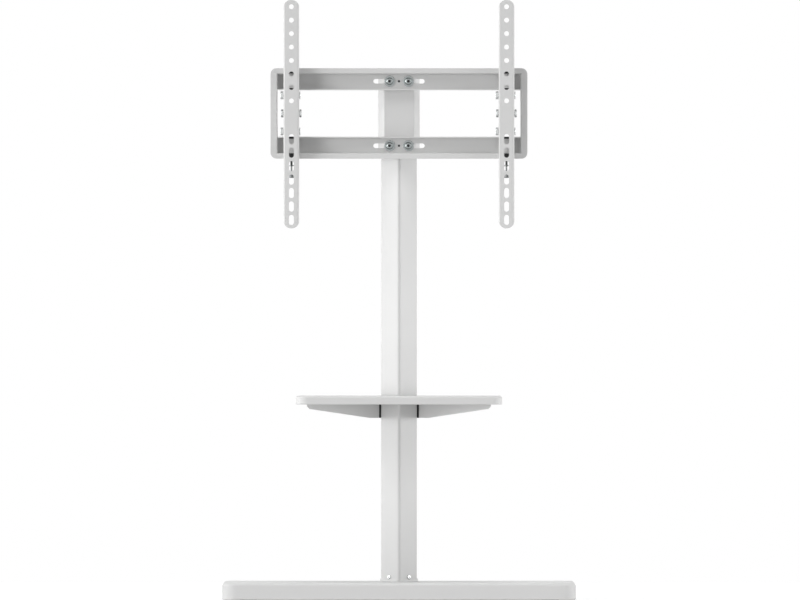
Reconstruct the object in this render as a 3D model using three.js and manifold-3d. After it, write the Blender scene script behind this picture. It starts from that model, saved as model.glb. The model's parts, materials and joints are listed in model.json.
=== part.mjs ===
// A floor stand that carries a screen: a board base, a square column turned corner-first,
// a shelf clamped to the column, a pressed steel rail frame and two tilting screen arms.
// Sizes are in millimetres. +Z is up, the screen side faces -Y, and the origin is the middle
// of the underside of the base.

import * as THREE from 'three';
import { mergeVertices } from 'three/addons/utils/BufferGeometryUtils.js';
import Module from 'manifold-3d';

const wasm = await Module();
wasm.setup();

// Fits and gaps
const seatGap = 0.3;
const headGap = 0.1;
const holeClearance = 0.3;
const socketClearance = 0.3;
const notchClearance = 1.5;
const cutOverrun = 4;

// Facets: sides of a full circle by its radius, and the widest step over a rounded edge
const wideRadius = 28;
const middleRadius = 6;
const circleSides = [60, 16, 12];
const edgeStep = 2;

// Heights above the floor
const shelfTopHeight = 380;
const screenHeight = 905;

// Base board, its underside plate and its glides
const baseWidth = 656;
const baseDepth = 380;
const baseThickness = 32;
const baseCornerRadius = 26;
const baseTopRound = 7;
const baseEdgeRound = 2.5;
const glideHeight = 2;
const glideRadius = 16;
const glideInset = 48;
const glidePegRadius = 3;
const glidePegLength = 10;
const basePlateWidth = 140;
const basePlateThickness = 4;
const basePlateCornerRadius = 8;
const basePlateRecess = 5;
const baseBoltSpacing = 26;
const baseBoltReach = 4;

// Column, the socket that it stands over, and its two end trims
const columnSetBack = 60;
const columnWidth = 50;
const columnWall = 2;
const columnCornerRadius = 5;
const socketHeight = 110;
const socketWall = 3;
const socketFloor = 5;
const footScrewHeight = 8;
const footTrimWall = 1.6;
const footTrimHeight = 5.5;
const capThickness = 3;
const capTopRound = 1;
const capEdgeRound = 0.5;
const capPlugDepth = 14;
const capPlugWall = 2.5;

// Screws and bolts: shank radius, head radius, head height
const boltRadius = 4;
const boltAcrossFlats = 13;
const boltHeadHeight = 5.3;
const boltTipChamfer = 0.8;
const boltTail = 1.5;
const countersunkHeadRadius = 8;
const socketKeyRadius = 2.4;
const socketKeyDepth = 1.6;
const smallScrewRadius = 2.5;
const smallScrewHeadRadius = 4.3;
const smallScrewHeadHeight = 2.4;
const smallScrewLength = 9;
const smallScrewKeyRadius = 1.7;
const domeShare = 0.65;
const rimShare = 0.35;
const woodScrewRadius = 2.2;
const woodScrewHeadRadius = 4.2;
const woodScrewHeadHeight = 2.2;
const woodScrewBite = 12;
const woodScrewKeyRadius = 1.4;

// Head bracket: the bent sleeve that joins the frame to the column
const headBracketHeight = 162;
const headBracketSheet = 2.5;
const headBracketBend = 0.5;
const headPlateWidth = 55;
const headBendSpan = 75;
const headRearGap = 16;
const headScrewSpacing = 100;
const weldNutThickness = 6.5;

// Rail frame
const frameWidth = 478;
const frameHeight = 168.5;
const frameDepth = 22;
const frameSheet = 2;
const frameBend = 0.5;
const frameCornerRadius = 11;
const frameTopFlange = 10.5;
const frameSideFlange = 13;
const railHeight = 41;
const frameBoltRise = 120;
const frameBoltSpacing = 35;
const frameSlotReach = 47.8;
const frameSlotWidth = 8.6;
const frameSlotPlay = 1;
const frameCentreHoleRadius = 2.3;
const frameBoltLength = 16;
const frameBoltHeadRadius = 7;
const frameBoltHeadHeight = 4.4;
const frameBoltKeyRadius = 2.9;
const washerRadius = 10;
const washerThickness = 1.6;

// Screen arms: spacing, channel, holes and slots
const armSpacing = 400;
const armLength = 425;
const armTopRise = 211;
const armWidth = 29;
const armSheet = 2;
const armBend = 1;
const armStandOff = 37;
const armFlangeDepth = 12;
const armFlangeTaper = 12;
const armFlangeRound = 8;
const screenHolePitch = 25;
const screenHoleRadius = 4.5;
const screenHoleDrop = 12.8;
const screenHoleCount = 8;
const screenSlotDrop = 259.1;
const screenSlotLength = 18.8;
const screenSlotCount = 7;

// Tilt joint
const pivotStandOff = 18;
const pivotHeadHeight = 4.5;
const pivotNutThickness = 4;
const slotNutThickness = 1.8;
const tiltBoltTail = 0.4;
const tiltBoltOffset = 33.5;
const tiltForward = 12;
const tiltBack = 5;
const tiltStopMargin = 0.5;
const earWall = 3.6;
const earRound = 7;

// Rail hooks and their safety screws
const hookSheet = 2.5;
const hookBend = 1.5;
const hookRise = 10.75;
const hookTongueDepth = 6;
const hookTongueGap = 0.8;
const hookDrop = 4.25;
const hookShallowDepth = 13;
const hookFullDepth = 26;
const hookFullHeight = 78;
const hookSlopeHeight = 20;
const hookRound = 5;
const hookToeReach = 11;
const hookWebTop = 16;
const hookWebBottom = -37;
const hookBridgeHeight = 16;
const safetyScrewRadius = 2.3;
const safetyScrewBackGap = 0.5;
const safetyScrewTipRise = 6.8;
const safetyCollarDrop = 7.5;
const safetyCollarRadius = 4.3;
const safetyCollarHeight = 2;
const safetyNeckRadius = 1.7;
const safetyKnobDrop = 24.5;
const safetyKnobRadius = 5.5;
const safetyKnobHeight = 7;
const safetyKnobChamfer = 1;

// Shelf board and its bracket
const shelfWidth = 383;
const shelfDepth = 230;
const shelfRearReach = 38;
const shelfThickness = 16;
const shelfCornerRadius = 22;
const shelfRearCornerRadius = 6;
const shelfTopRound = 4;
const shelfEdgeRound = 1.5;
const wingSheet = 2.5;
const wingBend = 2;
const wingHeight = 25.5;
const wingTipHeight = 8.5;
const wingLevelReach = 55;
const wingTipReach = 166;
const wingEndReach = 170.5;
const wingFlangeWidth = 16;
const wingFlangeStart = 42;
const wingFlangeEnd = 160;
const shelfScrewReaches = [62, 142];
const saddleHeight = 52;
const saddleHalfWidth = 30;
const saddleRound = 6;
const clampScrewDrop = 34;
const clampPlateWidth = 22;
const clampPlateHeight = 34;
const clampPlateThickness = 4;
const clampScrewRadius = 3;
const clampScrewHeadRadius = 5.2;
const clampScrewHeadHeight = 3.2;
const shelfTravel = 150;

// Finishes
const finishes = {
  board: { color: 0xecebea, roughness: 0.45, metalness: 0 },
  coat: { color: 0xe6e6e5, roughness: 0.5, metalness: 0.1 },
  frameCoat: { color: 0xdcdcdb, roughness: 0.5, metalness: 0.1 },
  zinc: { color: 0x9aa6a6, roughness: 0.32, metalness: 0.9 },
  blackSteel: { color: 0x3a3b3c, roughness: 0.5, metalness: 0.6 },
  plastic: { color: 0xe9e9e8, roughness: 0.55, metalness: 0 },
  felt: { color: 0x4a4a4a, roughness: 0.95, metalness: 0 },
};

// Places worked out from the sizes above
const halfTurn = Math.PI / 2;
const baseTop = glideHeight + baseThickness;
const shelfUnderside = shelfTopHeight - shelfThickness;
const headTop = screenHeight + headBracketHeight / 2;
const columnTop = headTop - capThickness;
const columnNose = -(columnWidth / Math.SQRT2 - columnCornerRadius * (Math.SQRT2 - 1));
const frameBack = columnNose - seatGap - headBracketSheet;
const frameFront = frameBack - frameDepth;
const frameHalfHeight = frameHeight / 2;
const frameMouth = frameHalfHeight - frameTopFlange;
const frameWindowHalf = frameHalfHeight - railHeight;
const armFront = frameFront - armStandOff;
const armBottom = armTopRise - armLength;
const pivotY = frameFront - pivotStandOff;
const hookWidth = armWidth - 2 * (armSheet + seatGap);
const boltHoleRadius = boltRadius + holeClearance;
const clampHoleRadius = clampScrewRadius + holeClearance;
const clampScrewHeight = shelfUnderside - clampScrewDrop;

// Points and outlines

function sidesFor(radius) {
  if (radius > wideRadius) return circleSides[0];
  return radius > middleRadius ? circleSides[1] : circleSides[2];
}

// Points along an arc, ends included; the number of steps follows the angle.
function arc(x, y, radius, start, end, sides = sidesFor(radius)) {
  const steps = Math.max(1, Math.ceil((Math.abs(end - start) / (2 * Math.PI)) * sides));
  return Array.from({ length: steps + 1 }, (_, i) => {
    const angle = start + ((end - start) * i) / steps;
    return new THREE.Vector2(x + radius * Math.cos(angle), y + radius * Math.sin(angle));
  });
}

function circle(x, y, radius, sides) {
  return arc(x, y, radius, 0, 2 * Math.PI, sides).slice(1);
}

// A slot with round ends between two centres on a line along x.
function levelSlot(left, right, y, radius) {
  return [
    ...arc(right, y, radius, -halfTurn, halfTurn),
    ...arc(left, y, radius, halfTurn, 3 * halfTurn),
  ];
}

function uprightSlot(x, bottom, top, radius) {
  return [
    ...arc(x, top, radius, 0, Math.PI),
    ...arc(x, bottom, radius, Math.PI, 2 * Math.PI),
  ];
}

// A slot bent along an arc round (x, y).
function curvedSlot(x, y, reach, radius, start, end) {
  const at = (angle) => [x + reach * Math.cos(angle), y + reach * Math.sin(angle)];
  return [
    ...arc(x, y, reach + radius, start, end),
    ...arc(...at(end), radius, end, end + Math.PI).slice(1, -1),
    ...arc(x, y, reach - radius, end, start),
    ...arc(...at(start), radius, start + Math.PI, start + 2 * Math.PI).slice(1, -1),
  ];
}

// A closed outline of [x, y, radius] corners, each rounded by its own radius.
function rounded(corners) {
  const corner = (i) => corners.at(i % corners.length);
  return corners.flatMap(([x, y, radius = 0], i) => {
    const here = new THREE.Vector2(x, y);
    if (radius === 0) return [here];
    const toLast = new THREE.Vector2(...corner(i - 1)).sub(here).normalize();
    const toNext = new THREE.Vector2(...corner(i + 1)).sub(here).normalize();
    const half = Math.acos(THREE.MathUtils.clamp(toLast.dot(toNext), -1, 1)) / 2;
    const inward = toLast.clone().add(toNext).normalize();
    const centre = here.clone().addScaledVector(inward, radius / Math.sin(half));
    const first = toLast.multiplyScalar(radius / Math.tan(half)).add(here).sub(centre);
    const turn = Math.PI - 2 * half;
    const last = toNext.multiplyScalar(radius / Math.tan(half)).add(here).sub(centre);
    const sense = Math.sign(first.cross(last));
    const start = Math.atan2(first.y, first.x);
    return arc(centre.x, centre.y, radius, start, start + sense * turn);
  });
}

function rectangle(left, bottom, right, top) {
  return rounded([[left, bottom], [right, bottom], [right, top], [left, top]]);
}

function roundedRectangle(width, height, radius) {
  const [x, y] = [width / 2, height / 2];
  return rounded([[-x, -y, radius], [x, -y, radius], [x, y, radius], [-x, y, radius]]);
}

// The section of a bent sheet, from the middle line of its material.
function bentSheet(middle, sheet, insideBend) {
  const line = middle.map(([x, y]) => new THREE.Vector2(x, y));
  const normals = line.slice(1).map((point, i) => {
    const along = point.clone().sub(line[i]).normalize();
    return new THREE.Vector2(-along.y, along.x);
  });
  const side = (sign) => line.map((point, i) => {
    const before = normals[i - 1] ?? normals[i];
    const after = normals[i] ?? normals[i - 1];
    const mitre = before.clone().add(after).divideScalar(1 + before.dot(after));
    const edge = point.clone().addScaledVector(mitre, (sign * sheet) / 2);
    const bend = before.cross(after) * sign;
    if (i === 0 || i === line.length - 1) return [edge.x, edge.y];
    return [edge.x, edge.y, bend > 0 ? insideBend : insideBend + sheet];
  });
  return rounded([...side(1), ...side(-1).reverse()]);
}

// Solids

function solidOf(geometry) {
  const bare = geometry.clone();
  bare.deleteAttribute('normal');
  bare.deleteAttribute('uv');
  const merged = mergeVertices(bare);
  return new wasm.Manifold(new wasm.Mesh({
    numProp: 3,
    vertProperties: merged.attributes.position.array,
    triVerts: new Uint32Array(merged.index.array),
  }));
}

function geometryOf(solid) {
  const mesh = solid.getMesh();
  const geometry = new THREE.BufferGeometry();
  geometry.setAttribute('position', new THREE.BufferAttribute(mesh.vertProperties, 3));
  geometry.setIndex(new THREE.BufferAttribute(mesh.triVerts, 1));
  geometry.computeVertexNormals();
  return geometry;
}

function joined(...solids) {
  return solids.flat().reduce((whole, piece) => whole.add(piece));
}

function cut(solid, ...cutters) {
  return cutters.flat().reduce((left, cutter) => left.subtract(cutter), solid);
}

function moved(solid, x, y, z) {
  return solid.translate(x, y, z);
}

function extruded(points, depth, holes = []) {
  const shape = new THREE.Shape(points);
  shape.holes.push(...holes.map((hole) => new THREE.Path(hole)));
  return new THREE.ExtrudeGeometry(shape, { depth, bevelEnabled: false });
}

// An outline in (x, y), standing between two heights.
function upright(points, bottom, top, holes) {
  return solidOf(extruded(points, top - bottom, holes).translate(0, 0, bottom));
}

// An outline in (y, z), running from left to right.
function crosswise(points, left, right, holes) {
  const axes = new THREE.Matrix4().makeBasis(
    new THREE.Vector3(0, 1, 0),
    new THREE.Vector3(0, 0, 1),
    new THREE.Vector3(1, 0, 0),
  );
  return solidOf(extruded(points, right - left, holes).applyMatrix4(axes).translate(left, 0, 0));
}

// An outline in (x, z), running from back to front.
function endwise(points, front, back, holes) {
  const axes = new THREE.Matrix4().makeBasis(
    new THREE.Vector3(1, 0, 0),
    new THREE.Vector3(0, 0, 1),
    new THREE.Vector3(0, -1, 0),
  );
  return solidOf(extruded(points, back - front, holes).applyMatrix4(axes).translate(0, back, 0));
}

// A turned solid round z from a half section in (radius, z), listed upwards.
function turned(section) {
  const points = section.map(([radius, z]) => new THREE.Vector2(radius, z));
  const standing = new THREE.Matrix4().makeRotationX(halfTurn);
  return solidOf(new THREE.LatheGeometry(points, circleSides[2]).applyMatrix4(standing));
}

function rod(radius, bottom, top) {
  return upright(circle(0, 0, radius), bottom, top);
}

function hexagon(acrossFlats) {
  return circle(0, 0, acrossFlats / Math.sqrt(3), 6);
}

// A flat board with rounded upright corners, a large round above and a small one below.
function roundedBoard(points, thickness, topRound, edgeRound) {
  const layer = (height, round) => solidOf(new THREE.ExtrudeGeometry(
    new THREE.Shape(points),
    {
      depth: height - 2 * round,
      bevelEnabled: true,
      bevelSize: round,
      bevelOffset: -round,
      bevelThickness: round,
      bevelSegments: Math.ceil(round / edgeStep),
    },
  ).translate(0, 0, round));
  const lap = topRound + edgeRound;
  const extent = new THREE.Box2().setFromPoints(points).expandByScalar(cutOverrun);
  const window = (bottom, top) => solidOf(new THREE.BoxGeometry(
    extent.max.x - extent.min.x,
    extent.max.y - extent.min.y,
    top - bottom,
  ).translate(
    (extent.min.x + extent.max.x) / 2,
    (extent.min.y + extent.max.y) / 2,
    (bottom + top) / 2,
  ));
  const upper = layer(thickness, topRound).intersect(window(lap, thickness + cutOverrun));
  const lower = layer(thickness, edgeRound).intersect(window(-cutOverrun, lap));
  return upper.add(lower);
}

// Fasteners: each seats on z = 0 with its head above and its shank below

function hexBolt(shankLength, headHeight = boltHeadHeight) {
  const corner = boltAcrossFlats / Math.sqrt(3);
  const flat = boltAcrossFlats / 2;
  const crown = corner - flat;
  const blank = turned([[0, 0], [corner, 0], [corner, headHeight - crown],
    [flat, headHeight], [0, headHeight]]);
  const head = upright(hexagon(boltAcrossFlats), 0, headHeight).intersect(blank);
  const shank = turned([[0, -shankLength], [boltRadius - boltTipChamfer, -shankLength],
    [boltRadius, boltTipChamfer - shankLength], [boltRadius, headHeight / 2],
    [0, headHeight / 2]]);
  return head.add(shank);
}

function hexNut(thickness) {
  const corner = boltAcrossFlats / Math.sqrt(3);
  const flat = boltAcrossFlats / 2;
  const crown = (corner - flat) / 2;
  const blank = turned([[0, 0], [corner, 0], [corner, thickness - crown], [flat, thickness],
    [0, thickness]]);
  const bore = rod(boltHoleRadius, -cutOverrun, thickness + cutOverrun);
  return cut(upright(hexagon(boltAcrossFlats), 0, thickness).intersect(blank), bore);
}

// A low domed screw with a hexagon key socket.
function buttonScrew(radius, headRadius, headHeight, length, keyRadius) {
  const body = turned([[0, -length], [radius, -length], [radius, 0], [headRadius, 0],
    [headRadius, headHeight * rimShare], [headRadius * domeShare, headHeight],
    [0, headHeight]]);
  const keyFloor = headHeight * rimShare;
  const key = upright(circle(0, 0, keyRadius, 6), keyFloor, headHeight + cutOverrun);
  return cut(body, key);
}

function countersunkBolt(length) {
  const cone = countersunkHeadRadius - boltRadius;
  const body = turned([[0, -length], [boltRadius, -length], [boltRadius, -cone],
    [countersunkHeadRadius, 0], [0, 0]]);
  const key = upright(circle(0, 0, socketKeyRadius, 6), -socketKeyDepth, cutOverrun);
  return cut(body, key);
}

// Base

function baseBoard() {
  const board = roundedBoard(
    roundedRectangle(baseWidth, baseDepth, baseCornerRadius),
    baseThickness,
    baseTopRound,
    baseEdgeRound,
  );
  const recessWidth = basePlateWidth + 2 * notchClearance;
  const recess = moved(
    upright(
      roundedRectangle(recessWidth, recessWidth, basePlateCornerRadius),
      -cutOverrun,
      basePlateRecess,
    ),
    0,
    columnSetBack,
    0,
  );
  const boltHoles = baseBoltPlaces().map(([x, y]) => moved(
    rod(boltHoleRadius, -cutOverrun, baseThickness + cutOverrun),
    x,
    columnSetBack + y,
    0,
  ));
  const pegHoles = glidePlaces().map(([x, y]) => moved(
    rod(glidePegRadius + holeClearance, -cutOverrun, glidePegLength + seatGap),
    x,
    y,
    0,
  ));
  return moved(cut(board, recess, boltHoles, pegHoles), 0, 0, glideHeight);
}

function glidePlaces() {
  const [x, y] = [baseWidth / 2 - glideInset, baseDepth / 2 - glideInset];
  return [[-x, -y], [x, -y], [x, y], [-x, y]];
}

// A disc under the board, held by a peg that is driven into it.
function glide() {
  return turned([[0, 0], [glideRadius - glideHeight / 2, 0], [glideRadius, glideHeight / 2],
    [glideRadius, glideHeight], [glidePegRadius, glideHeight],
    [glidePegRadius, glideHeight + glidePegLength], [0, glideHeight + glidePegLength]]);
}

// The base bolts stand on a square that is turned with the column.
function baseBoltPlaces() {
  const reach = baseBoltSpacing / Math.SQRT2;
  return [[0, -reach], [reach, 0], [0, reach], [-reach, 0]];
}

function basePlate() {
  const plate = upright(
    roundedRectangle(basePlateWidth, basePlateWidth, basePlateCornerRadius),
    0,
    basePlateThickness,
  );
  const outer = countersunkHeadRadius + holeClearance;
  const sink = turned([[0, 0], [outer, 0], [boltHoleRadius, basePlateThickness],
    [0, basePlateThickness]]);
  const hole = rod(boltHoleRadius, 0, basePlateThickness);
  return cut(plate, baseBoltPlaces().flatMap(([x, y]) => [
    moved(sink, x, y, 0),
    moved(hole, x, y, 0),
  ]));
}

// Column, drawn square to x and y; its group turns it by an eighth

function footSocket() {
  const width = columnWidth - 2 * (columnWall + socketClearance);
  const radius = columnCornerRadius - columnWall - socketClearance;
  const outer = upright(roundedRectangle(width, width, radius), 0, socketHeight);
  const pocket = width - 2 * socketWall;
  const inner = upright(
    roundedRectangle(pocket, pocket, radius / 2),
    socketFloor,
    socketHeight + cutOverrun,
  );
  const half = baseBoltSpacing / 2;
  const boltHoles = [[-half, -half], [half, -half], [half, half], [-half, half]].map(
    ([x, y]) => moved(rod(boltHoleRadius, -cutOverrun, socketFloor + cutOverrun), x, y, 0),
  );
  return cut(outer, inner, boltHoles, footScrewHoles(footScrewHeight));
}

// Two crossing rods that pierce all four walls of a tube at one height.
function footScrewHoles(height, radius = smallScrewRadius + holeClearance) {
  const hole = rod(radius, -columnWidth, columnWidth);
  return [moved(hole.rotate(90, 0, 0), 0, 0, height), moved(hole.rotate(0, 90, 0), 0, 0, height)];
}

function column() {
  const height = columnTop - baseTop;
  const bore = columnWidth - 2 * columnWall;
  const tube = upright(
    roundedRectangle(columnWidth, columnWidth, columnCornerRadius),
    0,
    height,
    [roundedRectangle(bore, bore, columnCornerRadius - columnWall)],
  );
  const slotBottom = clampScrewHeight - shelfTravel - baseTop;
  const slotTop = clampScrewHeight + shelfTravel - baseTop;
  const slot = crosswise(
    uprightSlot(0, slotBottom, slotTop, clampHoleRadius),
    0,
    columnWidth,
  );
  const headHoles = [-1, 1].flatMap((side) => {
    const hole = rod(smallScrewRadius + holeClearance, 0, columnWidth).rotate(0, 90, 0);
    const z = screenHeight + (side * headScrewSpacing) / 2 - baseTop;
    return [moved(hole, 0, 0, z), moved(hole.rotate(0, 0, 90), 0, 0, z)];
  });
  return cut(tube, slot, slot.rotate(0, 0, 90), headHoles, footScrewHoles(footScrewHeight));
}

// A thin trim that hides the joint of the column and the base, dipped under each screw head.
function footTrim() {
  const inner = columnWidth + 2 * seatGap;
  const outer = inner + 2 * footTrimWall;
  const innerRadius = columnCornerRadius + seatGap;
  const skirt = upright(
    roundedRectangle(outer, outer, innerRadius + footTrimWall),
    0,
    footTrimHeight,
    [roundedRectangle(inner, inner, innerRadius)],
  );
  return cut(skirt, footScrewHoles(footScrewHeight, smallScrewHeadRadius + holeClearance));
}

// A plug cap: a flat lid on a short skirt inside the tube.
function columnCap() {
  const lid = roundedBoard(
    roundedRectangle(columnWidth, columnWidth, columnCornerRadius),
    capThickness,
    capTopRound,
    capEdgeRound,
  );
  const width = columnWidth - 2 * (columnWall + seatGap);
  const radius = columnCornerRadius - columnWall - seatGap;
  const hollow = width - 2 * capPlugWall;
  const skirt = upright(
    roundedRectangle(width, width, radius),
    -capPlugDepth,
    capThickness / 2,
    [roundedRectangle(hollow, hollow, radius / 2)],
  );
  return lid.add(skirt);
}

// Head, drawn about the column's axis and the middle height of the screen

function headBracket() {
  const plate = columnNose - seatGap - headBracketSheet / 2;
  const rearLine = (columnWidth / 2 + seatGap + headBracketSheet / 2) * Math.SQRT2;
  const half = [
    [headPlateWidth / 2, plate],
    [headBendSpan / 2, rearLine - headBendSpan / 2],
    [headRearGap / 2, rearLine - headRearGap / 2],
  ];
  const middle = [...half.map(([x, y]) => [-x, y]).reverse(), ...half];
  const top = headBracketHeight / 2;
  const sleeve = upright(bentSheet(middle, headBracketSheet, headBracketBend), -top, top);
  const boltHole = endwise(
    circle(0, 0, boltHoleRadius),
    frameBack - cutOverrun,
    frameBack + headBracketSheet + weldNutThickness + cutOverrun,
  );
  const centreHole = endwise(
    circle(0, 0, frameCentreHoleRadius),
    frameBack - cutOverrun,
    frameBack + headBracketSheet + cutOverrun,
  );
  const nut = hexNut(weldNutThickness).rotate(-90, 0, 0);
  const nuts = frameBoltPlaces().map(([x, z]) => moved(nut, x, frameBack + headBracketSheet, z));
  const boltHoles = frameBoltPlaces().map(([x, z]) => moved(boltHole, x, 0, z));
  const centreHoles = [-1, 1].map((side) => moved(centreHole, 0, 0, (side * frameBoltRise) / 2));
  const screwHoles = [-1, 1].flatMap((side) => [45, 135].map((angle) => moved(
    rod(smallScrewRadius + holeClearance, columnWidth / 4, columnWidth)
      .rotate(0, 90, 0)
      .rotate(0, 0, angle),
    0,
    0,
    (side * headScrewSpacing) / 2,
  )));
  return cut(joined(sleeve, nuts), boltHoles, centreHoles, screwHoles);
}

function frameBoltPlaces() {
  const [x, z] = [frameBoltSpacing / 2, frameBoltRise / 2];
  return [[-x, z], [x, z], [-x, -z], [x, -z]];
}

// One pressed frame: a flange all round in front, walls set back from it, and two webs
// whose inner edges fold forward again.
function railFrame() {
  const half = frameSheet / 2;
  const flatStart = frameSheet + frameBend;
  const sideMouth = frameWidth / 2 - frameSideFlange;
  const railMiddle = (sign) => [
    [frameFront + half, sign * (frameMouth + flatStart)],
    [frameFront + half, sign * (frameMouth + half)],
    [frameBack - half, sign * (frameMouth + half)],
    [frameBack - half, sign * (frameWindowHalf + half)],
    [frameFront, sign * (frameWindowHalf + half)],
  ];
  const rails = [-1, 1].map((sign) => crosswise(
    bentSheet(railMiddle(sign), frameSheet, frameBend),
    -sideMouth - flatStart,
    sideMouth + flatStart,
  ));
  const sideMiddle = (sign) => [
    [sign * (sideMouth + flatStart), frameFront + half],
    [sign * (sideMouth + half), frameFront + half],
    [sign * (sideMouth + half), frameBack],
  ];
  const sides = [-1, 1].map((sign) => upright(
    bentSheet(sideMiddle(sign), frameSheet, frameBend),
    -frameMouth - flatStart,
    frameMouth + flatStart,
  ));
  const flange = endwise(
    roundedRectangle(frameWidth, frameHeight, frameCornerRadius),
    frameFront,
    frameFront + frameSheet,
    [roundedRectangle(2 * (sideMouth + flatStart), 2 * (frameMouth + flatStart), frameBend)],
  );
  const wallOutline = roundedRectangle(
    2 * (sideMouth + frameSheet),
    2 * (frameMouth + frameSheet),
    flatStart,
  );
  const trim = endwise(wallOutline, frameFront, frameBack).add(endwise(
    roundedRectangle(frameWidth, frameHeight, frameCornerRadius),
    frameFront,
    frameFront + flatStart,
  ));
  const slotRadius = frameSlotWidth / 2;
  const slot = (sign) => {
    const [inner, outer] = [
      frameBoltSpacing / 2 - frameSlotPlay,
      frameSlotReach - slotRadius,
    ].map((x) => sign * x);
    return levelSlot(Math.min(inner, outer), Math.max(inner, outer), 0, slotRadius);
  };
  const webCuts = [-1, 1].flatMap((sign) => [
    slot(-1),
    slot(1),
    circle(0, 0, frameCentreHoleRadius),
  ].map((outline) => moved(
    endwise(outline, frameBack - frameSheet - cutOverrun, frameBack + cutOverrun),
    0,
    0,
    (sign * frameBoltRise) / 2,
  )));
  return cut(joined(rails, sides, flange).intersect(trim), webCuts);
}

function washer() {
  return upright(circle(0, 0, washerRadius), 0, washerThickness, [
    circle(0, 0, boltHoleRadius),
  ]);
}

// Arms, drawn about the middle of one arm and the middle height of the screen

// Side view of an arm: a shallow channel with an ear round the tilt bolts.
function armSideOutline() {
  const web = armFront + armSheet;
  const flange = armFront + armFlangeDepth;
  const slotWall = boltHoleRadius + earWall;
  const upperReach = tiltBoltOffset * Math.sin(THREE.MathUtils.degToRad(tiltForward));
  const lowerReach = tiltBoltOffset * Math.sin(THREE.MathUtils.degToRad(tiltBack));
  const earTop = tiltBoltOffset + slotWall;
  const shoulder = earTop + armFlangeDepth;
  const front = armFront - cutOverrun;
  return rounded([
    [front, armBottom - cutOverrun],
    [web, armBottom - cutOverrun],
    [web, armBottom + armFlangeTaper / 2],
    [flange, armBottom + 2 * armFlangeTaper, armFlangeRound],
    [flange, -shoulder, armFlangeRound],
    [pivotY + lowerReach + slotWall, -earTop, earRound],
    [pivotY + upperReach + slotWall, earTop, earRound],
    [flange, shoulder, armFlangeRound],
    [flange, armTopRise - 2 * armFlangeTaper, armFlangeRound],
    [web, armTopRise - armFlangeTaper / 2],
    [web, armTopRise + cutOverrun],
    [front, armTopRise + cutOverrun],
  ]);
}

function screenArm() {
  const wall = armWidth / 2 - armSheet / 2;
  const rear = frameFront;
  const channel = upright(
    bentSheet(
      [[-wall, rear], [-wall, armFront + armSheet / 2], [wall, armFront + armSheet / 2],
        [wall, rear]],
      armSheet,
      armBend,
    ),
    armBottom,
    armTopRise,
  );
  const face = endwise(
    uprightSlot(0, armBottom + armWidth / 2, armTopRise - armWidth / 2, armWidth / 2),
    armFront - cutOverrun,
    rear + cutOverrun,
  );
  const side = crosswise(armSideOutline(), -armWidth, armWidth);
  const through = (points) => endwise(points, armFront - cutOverrun, armFront + 2 * armSheet);
  const holes = Array.from({ length: screenHoleCount }, (_, i) => through(
    circle(0, armTopRise - screenHoleDrop - i * screenHolePitch, screenHoleRadius),
  ));
  const slotHalf = screenSlotLength / 2 - screenHoleRadius;
  const slots = Array.from({ length: screenSlotCount }, (_, i) => {
    const middle = armTopRise - screenSlotDrop - i * screenHolePitch;
    return through(uprightSlot(0, middle - slotHalf, middle + slotHalf, screenHoleRadius));
  });
  const pivotHole = crosswise(
    circle(pivotY, 0, boltHoleRadius),
    -armWidth,
    armWidth,
  );
  const forward = THREE.MathUtils.degToRad(tiltForward + tiltStopMargin);
  const back = THREE.MathUtils.degToRad(tiltBack + tiltStopMargin);
  const tiltSlots = [halfTurn, 3 * halfTurn].map((middle) => crosswise(
    curvedSlot(pivotY, 0, tiltBoltOffset, boltHoleRadius, middle - forward, middle + back),
    -armWidth,
    armWidth,
  ));
  return cut(channel.intersect(face).intersect(side), holes, slots, pivotHole, tiltSlots);
}

// Side plate of a rail hook: it hangs over the upper flange of the frame, carries the three
// tilt bolts and ends in a toe under the lower flange.
function hookSideOutline() {
  const rear = frameFront - seatGap;
  const shallow = frameFront - hookShallowDepth;
  const full = frameFront - hookFullDepth;
  const fullTop = hookFullHeight / 2;
  const slopeTop = fullTop + hookSlopeHeight;
  const bottom = -frameHalfHeight - hookDrop;
  const toe = frameFront + hookToeReach;
  const toeTop = -frameHalfHeight - seatGap;
  const notch = frameFront + frameSheet + hookTongueGap;
  const tongue = notch + hookTongueDepth;
  const tongueTip = frameMouth + frameSheet + hookTongueGap;
  const crest = frameHalfHeight + hookRise;
  const webBend = rear - hookBend;
  return rounded([
    [shallow, bottom, hookRound],
    [toe, bottom, hookBend],
    [toe, toeTop],
    [rear, toeTop],
    [rear, hookWebBottom - hookBend],
    [webBend, hookWebBottom],
    [webBend, hookWebTop],
    [rear, hookWebTop + hookBend],
    [rear, frameHalfHeight + seatGap],
    [notch, frameHalfHeight + seatGap],
    [notch, tongueTip],
    [tongue, tongueTip, hookBend],
    [tongue, crest, hookRound],
    [shallow, crest, hookRound],
    [shallow, slopeTop, hookRound],
    [full, fullTop, hookRound],
    [full, -fullTop, hookRound],
    [shallow, -slopeTop, hookRound],
  ]);
}

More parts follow.
